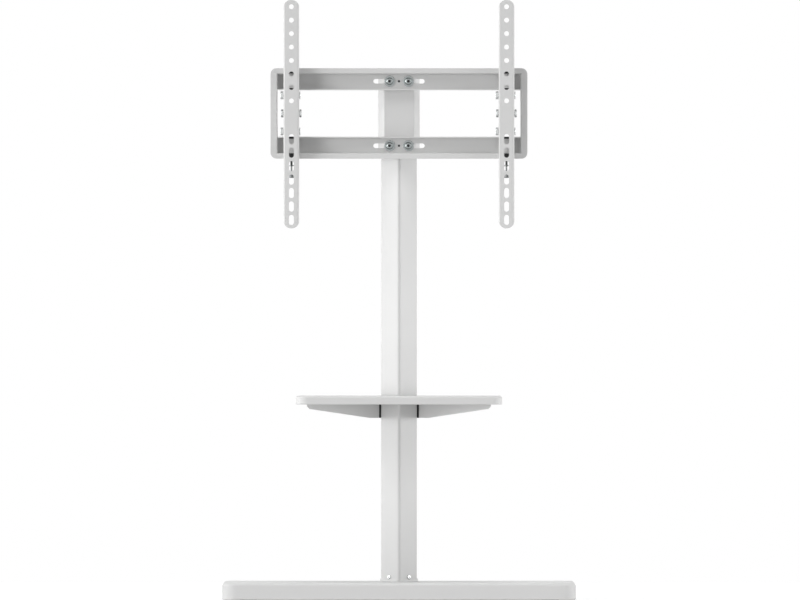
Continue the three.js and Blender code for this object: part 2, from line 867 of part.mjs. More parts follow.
function railHook() {
  const outer = hookWidth / 2;
  const inner = outer - hookSheet;
  const rear = frameFront - seatGap;
  const outline = hookSideOutline();
  const sides = [crosswise(outline, -outer, -inner), crosswise(outline, inner, outer)];
  const middle = outer - hookSheet / 2;
  const leg = rear - hookShallowDepth / 2;
  const web = upright(
    bentSheet(
      [[-middle, leg], [-middle, rear - hookSheet / 2], [middle, rear - hookSheet / 2],
        [middle, leg]],
      hookSheet,
      hookBend,
    ),
    hookWebBottom,
    hookWebTop,
  );
  const shallow = frameFront - hookShallowDepth;
  const crest = frameHalfHeight + hookRise;
  const bottom = -frameHalfHeight - hookDrop;
  const silhouette = crosswise(outline, -outer, outer);
  const strips = [
    rectangle(shallow, crest - hookBridgeHeight, shallow + hookSheet, crest),
    rectangle(shallow, bottom, frameFront + hookToeReach, bottom + hookSheet),
  ].map((strip) => crosswise(strip, -inner - hookSheet / 2, inner + hookSheet / 2));
  const boltHoles = [-tiltBoltOffset, 0, tiltBoltOffset].map(
    (z) => crosswise(circle(pivotY, z, boltHoleRadius), -armWidth, armWidth),
  );
  const screwHole = moved(
    rod(safetyScrewRadius + holeClearance, bottom - cutOverrun, bottom + hookSheet + cutOverrun),
    0,
    safetyScrewY(),
    0,
  );
  return cut(joined(sides, web, strips).intersect(silhouette), boltHoles, screwHole);
}

function safetyScrewY() {
  return frameFront + frameSheet + safetyScrewBackGap + safetyScrewRadius;
}

// A thumb screw that stands behind the lower flange and keeps the hook from lifting off.
function safetyScrew() {
  const bottom = -frameHalfHeight - hookDrop;
  const tip = -frameHalfHeight + safetyScrewTipRise;
  const collarTop = bottom - safetyCollarDrop;
  const collarBottom = collarTop - safetyCollarHeight;
  const knobTop = bottom - safetyKnobDrop;
  const knobBottom = knobTop - safetyKnobHeight;
  const knobEdge = safetyKnobRadius - safetyKnobChamfer;
  return turned([
    [0, knobBottom],
    [knobEdge, knobBottom],
    [safetyKnobRadius, knobBottom + safetyKnobChamfer],
    [safetyKnobRadius, knobTop - safetyKnobChamfer],
    [knobEdge, knobTop],
    [safetyNeckRadius, knobTop],
    [safetyNeckRadius, collarBottom],
    [safetyCollarRadius, collarBottom],
    [safetyCollarRadius, collarTop],
    [safetyScrewRadius, collarTop],
    [safetyScrewRadius, tip - safetyScrewRadius / 2],
    [safetyScrewRadius / 2, tip],
    [0, tip],
  ]);
}

// Shelf, drawn about the column's axis at its real height

function shelfBoard() {
  const rear = shelfRearReach;
  const front = rear - shelfDepth;
  const x = shelfWidth / 2;
  const outline = rounded([
    [-x, front, shelfCornerRadius],
    [x, front, shelfCornerRadius],
    [x, rear, shelfRearCornerRadius],
    [-x, rear, shelfRearCornerRadius],
  ]);
  const board = roundedBoard(outline, shelfThickness, shelfTopRound, shelfEdgeRound);
  const reach = columnWidth / Math.SQRT2 + notchClearance * Math.SQRT2;
  const notchHalf = -columnNose + notchClearance;
  const notch = upright(
    rounded([
      [0, -reach, columnCornerRadius],
      [notchHalf, notchHalf - reach],
      [notchHalf, rear + cutOverrun],
      [-notchHalf, rear + cutOverrun],
      [-notchHalf, notchHalf - reach],
    ]),
    -cutOverrun,
    shelfThickness + cutOverrun,
  );
  const screwHole = rod(woodScrewRadius + holeClearance, -cutOverrun, woodScrewBite + seatGap);
  const screwHoles = shelfScrewPlaces().map(([sx, sy]) => moved(screwHole, sx, sy, 0));
  return moved(cut(board, notch, screwHoles), 0, 0, shelfUnderside);
}

// The wing screws stand on the flanges, half a flange behind each wing.
function shelfScrewPlaces() {
  const wingFace = (columnWidth / 2 + seatGap) * Math.SQRT2;
  const back = (wingSheet + wingFlangeWidth / 2) / Math.SQRT2;
  return shelfScrewReaches.flatMap((x) => [-1, 1].map(
    (side) => [side * (x + back), wingFace - x + back],
  ));
}

// One sheet folded round the rear corner of the column, with a wing along each side that
// runs forward under the shelf and a flange on top of each wing.
function shelfBracket() {
  const face = columnWidth / 2 + seatGap + wingSheet / 2;
  const length = wingEndReach * Math.SQRT2 + columnWidth;
  const saddle = upright(
    bentSheet([[face - length, face], [face, face], [face, face - length]], wingSheet,
      columnCornerRadius + seatGap),
    -saddleHeight,
    0,
  ).rotate(0, 0, 45);
  const outline = [
    [-wingEndReach, -wingTipHeight / 2],
    [-wingTipReach, -wingTipHeight],
    [-wingLevelReach, -wingHeight],
    [-saddleHalfWidth, -wingHeight],
    [-saddleHalfWidth, -saddleHeight, saddleRound],
    [saddleHalfWidth, -saddleHeight, saddleRound],
    [saddleHalfWidth, -wingHeight],
    [wingLevelReach, -wingHeight],
    [wingTipReach, -wingTipHeight],
    [wingEndReach, -wingTipHeight / 2],
    [wingEndReach, cutOverrun],
    [-wingEndReach, cutOverrun],
  ];
  const wings = saddle.intersect(endwise(rounded(outline), -length, length));
  const flangeSection = bentSheet([
    [face, -wingTipHeight],
    [face, -wingSheet / 2],
    [face + wingFlangeWidth, -wingSheet / 2],
  ], wingSheet, wingBend);
  const startY = face - wingFlangeStart * Math.SQRT2;
  const endY = face - wingFlangeEnd * Math.SQRT2;
  const flange = endwise(flangeSection, endY, startY);
  const mirrored = endwise(flangeSection.map(({ x, y }) => new THREE.Vector2(-x, y)), endY, startY);
  const flanges = [flange.rotate(0, 0, 45), mirrored.rotate(0, 0, -45)];
  const screwHole = rod(woodScrewRadius + holeClearance, -wingTipHeight, cutOverrun);
  const screwHoles = shelfScrewPlaces().map(([x, y]) => moved(screwHole, x, y, 0));
  const clampHoles = [45, 135].map((angle) => moved(
    rod(clampHoleRadius, columnWidth / 4, columnWidth).rotate(0, 90, 0).rotate(0, 0, angle),
    0,
    0,
    -clampScrewDrop,
  ));
  return moved(cut(joined(wings, flanges), screwHoles, clampHoles), 0, 0, shelfUnderside);
}

// A threaded plate inside the column that the clamp screw pulls against the wall.
function clampPlate() {
  const outline = rounded([
    [-clampPlateWidth / 2, -clampPlateHeight / 2, clampScrewRadius],
    [clampPlateWidth / 2, -clampPlateHeight / 2, clampScrewRadius],
    [clampPlateWidth / 2, clampPlateHeight / 2, clampScrewRadius],
    [-clampPlateWidth / 2, clampPlateHeight / 2, clampScrewRadius],
  ]);
  return crosswise(outline, 0, clampPlateThickness, [circle(0, 0, clampHoleRadius)]);
}

// Assembly

function mesh(name, solid, finish) {
  const part = new THREE.Mesh(geometryOf(solid), new THREE.MeshStandardMaterial(finishes[finish]));
  part.name = name;
  return part;
}

function place(object, x, y, z) {
  object.position.set(x, y, z);
  return object;
}

function group(...children) {
  const holder = new THREE.Group();
  holder.add(...children.flat());
  return holder;
}

function baseGroup() {
  const glideSolid = glide();
  const glides = glidePlaces().map(([x, y], i) => place(
    mesh(`base_glide_${i + 1}`, glideSolid, 'felt'),
    x,
    y,
    0,
  ));
  const plateBottom = glideHeight + basePlateRecess - basePlateThickness;
  const headBottom = plateBottom + seatGap;
  const boltSolid = countersunkBolt(baseTop + socketFloor + baseBoltReach - headBottom);
  const bolts = baseBoltPlaces().map(([x, y], i) => {
    const bolt = mesh(`base_bolt_${i + 1}`, boltSolid, 'zinc');
    bolt.rotation.x = Math.PI;
    return place(bolt, x, columnSetBack + y, headBottom);
  });
  return group(
    mesh('base_board', baseBoard(), 'board'),
    place(mesh('base_plate', basePlate(), 'blackSteel'), 0, columnSetBack, plateBottom),
    bolts,
    glides,
  );
}

// A screw laid against one face of the turned column; its head points out of that face.
function faceScrew(name, solid, finish, quarter, seat, height) {
  const screw = mesh(name, solid, finish);
  screw.rotation.y = halfTurn;
  const holder = group(place(screw, seat, 0, height));
  holder.rotation.z = quarter * halfTurn;
  return holder;
}

function columnGroup() {
  const footScrew = buttonScrew(
    smallScrewRadius,
    smallScrewHeadRadius,
    smallScrewHeadHeight,
    columnWall + socketClearance + socketWall + boltTail,
    smallScrewKeyRadius,
  );
  const footScrews = [0, 1, 2, 3].map((quarter) => faceScrew(
    `column_foot_screw_${quarter + 1}`,
    footScrew,
    'zinc',
    quarter,
    columnWidth / 2 + headGap,
    baseTop + footScrewHeight,
  ));
  const headScrew = buttonScrew(
    smallScrewRadius,
    smallScrewHeadRadius,
    smallScrewHeadHeight,
    smallScrewLength,
    smallScrewKeyRadius,
  );
  const headSeat = columnWidth / 2 + seatGap + headBracketSheet + headGap;
  const headScrews = [-1, 1].flatMap((side, row) => [0, 1].map((quarter) => faceScrew(
    `head_screw_${2 * row + quarter + 1}`,
    headScrew,
    'zinc',
    quarter,
    headSeat,
    screenHeight + (side * headScrewSpacing) / 2,
  )));
  const standing = group(
    place(mesh('foot_socket', footSocket(), 'blackSteel'), 0, 0, baseTop),
    place(mesh('column', column(), 'coat'), 0, 0, baseTop),
    place(mesh('foot_trim', footTrim(), 'plastic'), 0, 0, baseTop),
    place(mesh('column_cap', columnCap(), 'plastic'), 0, 0, columnTop),
    footScrews,
    headScrews,
  );
  standing.rotation.z = Math.PI / 4;
  return standing;
}

function headGroup() {
  const washerSolid = washer();
  const boltSolid = buttonScrew(
    boltRadius,
    frameBoltHeadRadius,
    frameBoltHeadHeight,
    frameBoltLength,
    frameBoltKeyRadius,
  );
  const webFace = frameBack - frameSheet;
  const fasteners = frameBoltPlaces().flatMap(([x, z], i) => {
    const ring = mesh(`frame_washer_${i + 1}`, washerSolid, 'zinc');
    const bolt = mesh(`frame_bolt_${i + 1}`, boltSolid, 'zinc');
    ring.rotation.x = halfTurn;
    bolt.rotation.x = halfTurn;
    return [
      place(ring, x, webFace, z),
      place(bolt, x, webFace - washerThickness - headGap, z),
    ];
  });
  return place(group(
    mesh('head_bracket', headBracket(), 'coat'),
    mesh('rail_frame', railFrame(), 'frameCoat'),
    fasteners,
  ), 0, 0, screenHeight);
}

// One arm with its rail hook; both sides are the same and are not mirrored.
function armGroup(side, x) {
  const seat = armWidth / 2 + seatGap;
  const tiltFasteners = [
    ['pivot', 0, pivotHeadHeight, pivotNutThickness],
    ['upper_tilt', tiltBoltOffset, boltHeadHeight, slotNutThickness],
    ['lower_tilt', -tiltBoltOffset, boltHeadHeight, slotNutThickness],
  ].flatMap(([name, z, headHeight, nutThickness]) => {
    const shank = 2 * seat + nutThickness + tiltBoltTail;
    const bolt = mesh(`${side}_${name}_bolt`, hexBolt(shank, headHeight), 'zinc');
    const nut = mesh(`${side}_${name}_nut`, hexNut(nutThickness), 'zinc');
    bolt.rotation.y = -halfTurn;
    nut.rotation.y = halfTurn;
    return [place(bolt, -seat, pivotY, z), place(nut, seat, pivotY, z)];
  });
  return place(group(
    mesh(`${side}_arm`, screenArm(), 'coat'),
    mesh(`${side}_rail_hook`, railHook(), 'coat'),
    place(mesh(`${side}_safety_screw`, safetyScrew(), 'zinc'), 0, safetyScrewY(), 0),
    tiltFasteners,
  ), x, 0, screenHeight);
}

function shelfGroup() {
  const woodScrew = buttonScrew(
    woodScrewRadius,
    woodScrewHeadRadius,
    woodScrewHeadHeight,
    wingSheet + woodScrewBite,
    woodScrewKeyRadius,
  );
  const boardScrews = shelfScrewPlaces().map(([x, y], i) => {
    const screw = mesh(`shelf_screw_${i + 1}`, woodScrew, 'zinc');
    screw.rotation.x = Math.PI;
    return place(screw, x, y, shelfUnderside - wingSheet);
  });
  const plateSolid = clampPlate();
  const innerFace = columnWidth / 2 - columnWall - seatGap;
  const clampScrew = buttonScrew(
    clampScrewRadius,
    clampScrewHeadRadius,
    clampScrewHeadHeight,
    2 * seatGap + wingSheet + columnWall + clampPlateThickness + boltTail,
    socketKeyRadius,
  );
  const clamps = [0, 1].map((quarter) => {
    const plate = mesh(`clamp_plate_${quarter + 1}`, plateSolid, 'blackSteel');
    const holder = group(
      place(plate, innerFace - clampPlateThickness, 0, clampScrewHeight),
      faceScrew(
        `clamp_screw_${quarter + 1}`,
        clampScrew,
        'zinc',
        0,
        columnWidth / 2 + seatGap + wingSheet + headGap,
        clampScrewHeight,
      ),
    );
    holder.rotation.z = Math.PI / 4 + quarter * halfTurn;
    return holder;
  });
  return group(
    mesh('shelf_board', shelfBoard(), 'board'),
    mesh('shelf_bracket', shelfBracket(), 'coat'),
    boardScrews,
    clamps,
  );
}

const onColumn = place(group(
  columnGroup(),
  headGroup(),
  shelfGroup(),
  armGroup('left', -armSpacing / 2),
  armGroup('right', armSpacing / 2),
), 0, columnSetBack, 0);

export default group(baseGroup(), onColumn);
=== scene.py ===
"""Looks for a white floor stand that carries a flat screen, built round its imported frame."""

import json
import math

import bpy
from bpy.props import FloatProperty, FloatVectorProperty, IntProperty, PointerProperty
from mathutils import Matrix, Vector


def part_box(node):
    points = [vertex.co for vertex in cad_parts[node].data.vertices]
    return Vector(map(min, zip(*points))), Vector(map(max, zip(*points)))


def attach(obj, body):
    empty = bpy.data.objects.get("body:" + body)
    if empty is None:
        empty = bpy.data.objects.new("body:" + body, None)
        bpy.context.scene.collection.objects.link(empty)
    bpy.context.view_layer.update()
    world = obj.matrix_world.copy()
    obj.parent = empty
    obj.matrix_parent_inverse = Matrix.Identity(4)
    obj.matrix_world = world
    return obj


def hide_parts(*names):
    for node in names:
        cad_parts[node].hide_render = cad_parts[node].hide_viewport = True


bl_info = {
    "name": "Screen Floor Stand",
    "version": (1, 0, 0),
    "blender": (4, 5, 0),
    "location": "3D View > Sidebar > Stand",
    "description": "Builds a white floor stand with a shelf and tilting screen arms",
    "category": "Add Mesh",
}

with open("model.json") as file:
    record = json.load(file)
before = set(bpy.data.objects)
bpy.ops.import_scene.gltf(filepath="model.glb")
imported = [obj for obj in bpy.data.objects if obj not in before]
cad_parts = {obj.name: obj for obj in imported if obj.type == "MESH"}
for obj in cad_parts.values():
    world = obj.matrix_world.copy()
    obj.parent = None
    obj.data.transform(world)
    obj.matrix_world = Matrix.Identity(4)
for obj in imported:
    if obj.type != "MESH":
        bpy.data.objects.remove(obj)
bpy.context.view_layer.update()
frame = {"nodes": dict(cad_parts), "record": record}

behaviour = frame["record"]["behaviour"]
node_body = {node: body for body, nodes in behaviour["bodies"].items() for node in nodes}
node_slot = {part["node"]: part["material_slot"] for part in frame["record"]["subparts"]}
joints = {joint["name"]: joint for joint in behaviour["joints"]}
SIDES = ("left", "right")


# Sizes and colours that can be changed

def length(name, default, description):
    return FloatProperty(
        name=name, default=default, description=description, min=0.0, unit="LENGTH"
    )


def share(name, default, description):
    return FloatProperty(
        name=name, default=default, description=description, min=0.0, max=1.0,
        subtype="FACTOR",
    )


def number(name, default, description):
    return IntProperty(name=name, default=default, description=description, min=1)


def screw(name, default, description):
    """Shank radius, head radius, head height, shank length and key width of a screw."""
    return FloatVectorProperty(
        name=name, default=default, description=description, size=5, min=0.0, unit="LENGTH"
    )


def lamp(name, default, description):
    """Strength of a lamp, its degrees aside from the camera and its degrees above the floor."""
    return FloatVectorProperty(name=name, default=default, description=description, size=3)


def colour(name, default, description):
    return FloatVectorProperty(
        name=name, default=(*default, 1), description=description, size=4, min=0.0,
        max=1.0, subtype="COLOR",
    )


class BoardSettings(bpy.types.PropertyGroup):
    """Rounding of the base and the shelf."""

    base_corner: length("Base corner", 0.026, "Radius of the base's upright corners")
    base_top: length("Base top edge", 0.007, "Rounding of the base's upper edge")
    base_bottom: length("Base lower edge", 0.0025, "Rounding of the base's lower edge")
    base_edge: length("Base edge", 0.0004, "Softening of the base's other edges")
    recess_margin: length("Recess margin", 0.0015, "Gap round the plate under the base")
    plate_edge: length("Plate edge", 0.0003, "Softening of the plate's edges")
    bolt_edge: length("Base bolt edge", 0.0001, "Softening of the base bolts' edges")
    shelf_front: length("Shelf front corner", 0.022, "Radius of the shelf's front corners")
    shelf_rear: length("Shelf rear corner", 0.006, "Radius of the shelf's rear corners")
    shelf_top: length("Shelf top edge", 0.004, "Rounding of the shelf's upper edge")
    shelf_bottom: length("Shelf lower edge", 0.0015, "Rounding of the shelf's lower edge")
    shelf_edge: length("Shelf edge", 0.0005, "Softening of the shelf's other edges")
    notch_gap: length("Notch gap", 0.0015, "Gap between the shelf and the column")
    glide_round: length("Glide rim", 0.0008, "Rounding of the glides' lower rim")
    glide_edge: length("Glide edge", 0.0002, "Softening of the glides' upper rim")


class ColumnSettings(bpy.types.PropertyGroup):
    """The square tube and the near-black strips beside it, which are painted shade in the crevices
    where the shelf bracket meets the column.
    """

    width: length("Width", 0.05, "Width of the tube across its flats")
    wall: length("Wall", 0.002, "Thickness of the tube's wall")
    corner: length("Corner", 0.005, "Outer radius of the tube's corners")
    slot_radius: length("Slot radius", 0.0033, "Half the width of the shelf slots")
    tube_edge: length("Tube edge", 0.0003, "Softening of the tube's cut edges")
    trim_edge: length("Trim edge", 0.0004, "Softening of the trim and the cap")
    # The strips are painted shade: dark pieces set in the crevices beside the column's corners.
    liner_start: length("Liner start", 0.0022, "Distance of a liner from the column's corner")
    liner_width: length("Liner width", 0.0044, "Width of a liner along the shelf bracket")
    liner_depth: length("Liner depth", 0.0009, "Thickness of a liner")
    liner_gap: length("Liner gap", 0.00025, "Gap between the column's face and a liner's back")
    liner_height: length("Liner height", 0.0255, "Height of a liner under the shelf")


class SheetSettings(bpy.types.PropertyGroup):
    """Bent sheet pieces, the screen arms and the dark pieces of painted shade on the frame."""

    edge: length("Sheet edge", 0.0003, "Softening of the cut edges of sheet pieces")
    arm_sheet: length("Arm sheet", 0.002, "Thickness of an arm's sheet")
    arm_bend: length("Arm bend", 0.003, "Outer bend radius of an arm")
    arm_flange: length("Arm flange", 0.012, "Depth of an arm's side flanges")
    arm_taper: length("Arm taper", 0.024, "Length over which a flange fades out at the ends")
    hole_radius: length("Hole radius", 0.0045, "Radius of the holes and slots of an arm")
    hole_pitch: length("Hole pitch", 0.025, "Distance from hole to hole")
    hole_drop: length("First hole", 0.0128, "Distance of the first hole from an arm's top")
    hole_count: number("Holes", 8, "Round holes in an arm")
    slot_drop: length("First slot", 0.2591, "Distance of the first slot from an arm's top")
    slot_length: length("Slot length", 0.0188, "Length of each slot in an arm")
    slot_count: number("Slots", 7, "Slots in an arm")
    bolt_clearance: length("Bolt hole", 0.0043, "Radius of the tilt bolts' holes")
    bolt_offset: length("Bolt offset", 0.0335, "Distance of the outer tilt bolts from the pivot")
    ear_wall: length("Ear wall", 0.0036, "Material outside the tilt slots")
    ear_round: length("Ear corner", 0.007, "Corner radius of the tilt ears")
    flange_round: length("Flange corner", 0.008, "Corner radius beside the ears")
    rail_height: length("Rail height", 0.041, "Height of the frame's rails")
    # The pads are painted shade: near-black sheets on the frame inside the hooks, where the hooks
    # shade the rail.
    pad_width: length("Pad width", 0.019, "Width of the hook pads")
    pad_sheet: length("Pad sheet", 0.0012, "Thickness of the hook pads")
    pad_gap: length("Pad gap", 0.0001, "Play of the hook pads and the centre pins")
    pad_tall: length("Tall pad", 0.0098, "Height of the pads on the frame's flanges")
    pad_thin: length("Thin pad", 0.0038, "Height of the pads beside the window")
    centre_hole: length("Centre hole", 0.0023, "Radius of the frame's centre holes")
    # The pins are painted shade: near-black plugs in the centre holes.
    pin_reach: length("Pin reach", 0.0012, "Reach of the centre pins in front of the bracket")
    pin_depth: length("Pin depth", 0.0022, "Depth of the centre pins in the bracket")


class HardwareSettings(bpy.types.PropertyGroup):
    """Bolts, nuts, washers and screws."""

    across_flats: length("Across flats", 0.013, "Width of the hexagon heads and nuts")
    shank: length("Shank radius", 0.004, "Radius of the bolts")
    pitch: length("Thread pitch", 0.00125, "Distance from thread to thread of the bolts")
    thread_depth: length("Thread depth", 0.00045, "Depth of the threads")
    head: length("Head height", 0.0053, "Height of a hexagon head")
    low_head: length("Low head height", 0.0045, "Height of the pivot bolts' heads")
    washer_bore: length("Washer bore", 0.0043, "Radius of a washer's hole")
    washer_edge: length("Washer edge", 0.0003, "Softening of the washers' edges")
    rim: share("Screw rim", 0.3, "Height of a domed head's rim over the head's height")
    crown: share("Screw crown", 0.48, "Radius of a domed head's flat over the head's radius")
    frame_bolt: screw("Frame bolt", (0.004, 0.007, 0.0044, 0.016, 0.005), "Domed frame bolts")
    small_screw: screw("Small screw", (0.0025, 0.0043, 0.0024, 0.0068, 0.003), "Steel screws")
    clamp_screw: screw("Clamp screw", (0.003, 0.0052, 0.0032, 0.0116, 0.004), "Shelf clamps")
    board_screw: screw("Board screw", (0.0022, 0.0042, 0.0022, 0.0145, 0.0025), "Shelf screws")
    bracket_seat: length("Bracket seat", 0.0028, "Column face to the bracket's outer face")
    seat_gap: length("Seat gap", 0.0001, "Gap under a screw's head")
    edge: length("Edge", 0.00015, "Softening of the hardware's edges")
    thumb_shank: length("Thumb screw shank", 0.0023, "Radius of a thumb screw's thread")
    thumb_pitch: length("Thumb screw pitch", 0.0008, "Pitch of a thumb screw's thread")
    neck: length("Neck radius", 0.0017, "Radius of a thumb screw's neck")
    neck_sink: length("Neck sink", 0.002, "Depth of the neck's foot in the knob")
    neck_taper: length("Neck taper", 0.0005, "Height over which the neck widens under the collar")
    collar: length("Collar radius", 0.0043, "Radius of a thumb screw's collar")
    collar_rise: length("Collar rise", 0.022, "Height of the collar over the knob's lower end")
    collar_height: length("Collar height", 0.002, "Height of a thumb screw's collar")
    collar_chamfer: length("Collar chamfer", 0.0004, "Chamfer of the collar's rims")
    knob: length("Knob radius", 0.00546, "Radius of a thumb knob")
    knob_height: length("Knob height", 0.007, "Height of a thumb knob")
    knob_chamfer: length("Knob chamfer", 0.001, "Chamfer of a knob's rims")
    knob_edge: length("Knob edge", 0.0001, "Softening of a knob's edges")
    knob_ribs: number("Knob ribs", 24, "Ribs round a thumb knob")
    rib_depth: length("Rib depth", 0.0003, "Depth of the grooves between the ribs")


class FinishSettings(bpy.types.PropertyGroup):
    """Colours and gloss of the finishes."""

    board: colour("Board", (0.67, 0.67, 0.667), "Lacquer of the base and the shelf")
    board_gloss: share("Board roughness", 0.44, "Roughness of the lacquer")
    board_shine: share("Board shine", 0.3, "Strength of the lacquer's reflections")
    coat: colour("Coat", (0.67, 0.67, 0.667), "Powder coat of the sheet pieces")
    # Painted shade: the column has the same white coat as the sheet pieces, made a shade darker to
    # tone down how the lamps light it.
    tube_coat: colour("Tube coat", (0.645, 0.645, 0.642), "Powder coat of the column")
    coat_gloss: share("Coat roughness", 0.42, "Roughness of the powder coat")
    coat_shine: share("Coat shine", 0.33, "Strength of the powder coat's reflections")
    plastic: colour("Plastic", (0.66, 0.66, 0.656), "Moulded trims")
    plastic_gloss: share("Plastic roughness", 0.5, "Roughness of the trims")
    # Painted shade: this zinc is darkened well below the pale zinc, to stand for darker reflections
    # on the frame, base and shelf hardware.
    zinc: colour("Zinc", (0.33, 0.355, 0.355), "Zinc plate of the frame, base and shelf screws")
    pale_zinc: colour("Pale zinc", (0.62, 0.635, 0.635), "Zinc of the tilt bolts and column screws")
    # Painted shadow: the thumb screws' zinc is made near black for the shadow they sit in.
    dull_zinc: colour("Dull zinc", (0.13, 0.135, 0.135), "Oiled zinc plate of the thumb screws")
    zinc_gloss: share("Zinc roughness", 0.2, "Roughness of the zinc plate")
    # Dark is the hidden clamp plates' own colour, and the painted shade of the strips, pads, pins
    # and key sockets.
    dark: colour("Dark steel", (0.025, 0.026, 0.027), "Hidden steel pieces, pads and key sockets")
    dark_edge: colour("Dark edge", (0.12, 0.12, 0.12), "Rubbed edges of the dark pieces")
    dark_gloss: share("Dark roughness", 0.45, "Roughness of the dark pieces")
    felt: colour("Felt", (0.045, 0.045, 0.047), "Glides under the base")
    felt_gloss: share("Felt roughness", 0.95, "Roughness of the felt")
    felt_sheen: share("Felt sheen", 0.4, "Sheen of the felt's fibres")


class StageSettings(bpy.types.PropertyGroup):
    """Floor, lamps and camera."""

    front_lamp: lamp("Front lamp", (1.04, -40, 2), "Low lamp, left of the camera")
    left_lamp: lamp("Left lamp", (1.26, -98, 2), "Low lamp, left and a little behind")
    right_lamp: lamp("Right lamp", (0.34, 85, 2), "Low lamp on the right")
    right_rim_lamp: lamp("Right rim lamp", (1.1, 98, 2), "Low lamp, right and a little behind")
    high_left_lamp: lamp("High left lamp", (0.91, -60, 30), "Raised lamp on the left")
    high_right_lamp: lamp("High right lamp", (0.68, 60, 30), "Raised lamp on the right")
    top_lamp: lamp("Top lamp", (0.9, 0, 90), "Lamp overhead")
    ambient: share("Ambient", 0.24, "Strength of the light from all round")
    lamp_spread: FloatProperty(
        name="Lamp spread", default=math.radians(26), description="Softness of the lamps",
        subtype="ANGLE",
    )
    lamp_distance: length("Lamp distance", 3, "Distance of the lamps from the stand's foot")
    field: length("Field width", 1.488, "Width that the camera takes in at the column")
    lens: FloatProperty(name="Lens", default=1250, description="Focal length in millimetres")
    aside: FloatProperty(
        name="Aside", default=0.0019, description="Camera's offset from the middle plane",
        unit="LENGTH",
    )
    height: length("Height", 0.558, "Height of the camera")
    floor_size: length("Floor size", 6, "Width of the floor")
    floor_tone: share("Floor tone", 0.85, "Paleness of the floor")
    floor_gloss: share("Floor roughness", 0.9, "Roughness of the floor")
    floor_lift: share("Floor lift", 0.3, "Brightening of the floor for the camera")


GROUPS = {
    "stand_boards": BoardSettings,
    "stand_column": ColumnSettings,
    "stand_sheet": SheetSettings,
    "stand_hardware": HardwareSettings,
    "stand_finish": FinishSettings,
    "stand_stage": StageSettings,
}
LAMPS = [name for name in StageSettings.__annotations__ if name.endswith("_lamp")]

# Sides of the round pieces, and of the small turned ones.
ROUND_SIDES = 48
SMALL_SIDES = 32
# How far a cutting tool reaches past what it cuts.
OVERRUN = 0.004
# How near two places count as one, and how near two points are merged.
NEAR = 1e-5
MERGE = 2e-6
# The upright part of a normal above which its face counts as level.
LEVEL = 0.9
# Faces that meet below the first angle are made one, and edges above the second are softened.
FLAT_ANGLE = math.radians(0.5)
SHARP_ANGLE = math.radians(50)
SMOOTH_ANGLE = math.radians(38)
QUARTER = math.pi / 2
# Where the crest of a thread starts and ends, over its pitch.
CREST = (0.4, 0.55)
# Radius of the turned blanks over that of the hexagon or knob that they trim.
HEAD_BLANK = 1.01
KNOB_BLANK = 1.02
# The attribute that marks the key socket of a screw, whose faces take painted shade.
SOCKET_SHADE = "recess"
# The node whose finish and slot the dark pieces that the frame lacks take; these pieces are painted
# shade.
SHADE_PIECE_NODE = "clamp_plate_1"


# Outlines

def arc(centre, radius, start, end, steps):
    """Points of an arc, ends included."""
    angles = [start + (end - start) * i / steps for i in range(steps + 1)]
    return [
        (centre[0] + radius * math.cos(angle), centre[1] + radius * math.sin(angle))
        for angle in angles
    ]


def rounded(corners, steps=8):
    """A closed outline of (x, y, radius) corners with true arcs."""
    points = []
    for i, (x, y, radius) in enumerate(corners):
        here = Vector((x, y))
        if radius == 0:
            points.append((x, y))
            continue
        to_last = (Vector(corners[i - 1][:2]) - here).normalized()
        to_next = (Vector(corners[(i + 1) % len(corners)][:2]) - here).normalized()
        half = to_last.angle(to_next) / 2
        centre = here + (to_last + to_next).normalized() * (radius / math.sin(half))
        first = here + to_last * (radius / math.tan(half)) - centre
        last = here + to_next * (radius / math.tan(half)) - centre
        start = math.atan2(first.y, first.x)
        sense = 1 if first.x * last.y - first.y * last.x > 0 else -1
        points += arc(centre, radius, start, start + sense * (math.pi - 2 * half), steps)
    return points


def hexagon(radius):
    return arc((0, 0), radius, 0, 2 * math.pi, 6)[:-1]


def upright_slot(x, bottom, top, radius, steps=16):
    """A slot with round ends between two centres, one above the other."""
    return arc((x, top), radius, 0, math.pi, steps) + arc(
        (x, bottom), radius, math.pi, 2 * math.pi, steps
    )


def curved_slot(centre, reach, radius, start, end, steps=8):
    """A slot bent along an arc, with round ends."""

    def end_cap(angle, turn):
        middle_point = arc(centre, reach, angle, angle, 1)[0]
        return arc(middle_point, radius, turn, turn + math.pi, steps)[1:-1]

    return (
        arc(centre, reach + radius, start, end, steps)
        + end_cap(end, end)
        + arc(centre, reach - radius, end, start, steps)
        + end_cap(start, start + math.pi)
    )


# Modelling steps

def deselect():
    bpy.ops.object.select_all(action="DESELECT")


def activate(piece):
    deselect()
    piece.select_set(True)
    bpy.context.view_layer.objects.active = piece


def edit_all():
    bpy.ops.object.mode_set(mode="EDIT")
    bpy.ops.mesh.select_all(action="SELECT")


def face_outwards():
    """Turns all faces of the edited mesh outwards and leaves edit mode."""
    bpy.ops.mesh.select_all(action="SELECT")
    bpy.ops.mesh.normals_make_consistent(inside=False)
    bpy.ops.object.mode_set(mode="OBJECT")


def rest_in_place(piece, name):
    """Moves a piece's place, turn and scale into its mesh."""
    piece.name = name
    activate(piece)
    bpy.ops.object.transform_apply(location=True, rotation=True, scale=True)
    return piece


def add_block(name, low, high):
    """A box between two corners."""
    low, high = Vector(low), Vector(high)
    deselect()
    bpy.ops.mesh.primitive_cube_add(size=1, location=(low + high) / 2, scale=high - low)
    return rest_in_place(bpy.context.object, name)


def add_rod(name, start, end, radius):
    """A cylinder between two points."""
    start, end = Vector(start), Vector(end)
    along = end - start
    deselect()
    bpy.ops.mesh.primitive_cylinder_add(
        vertices=ROUND_SIDES, radius=radius, depth=along.length, location=(start + end) / 2,
        rotation=along.to_track_quat("Z", "Y").to_euler(),
    )
    return rest_in_place(bpy.context.object, name)


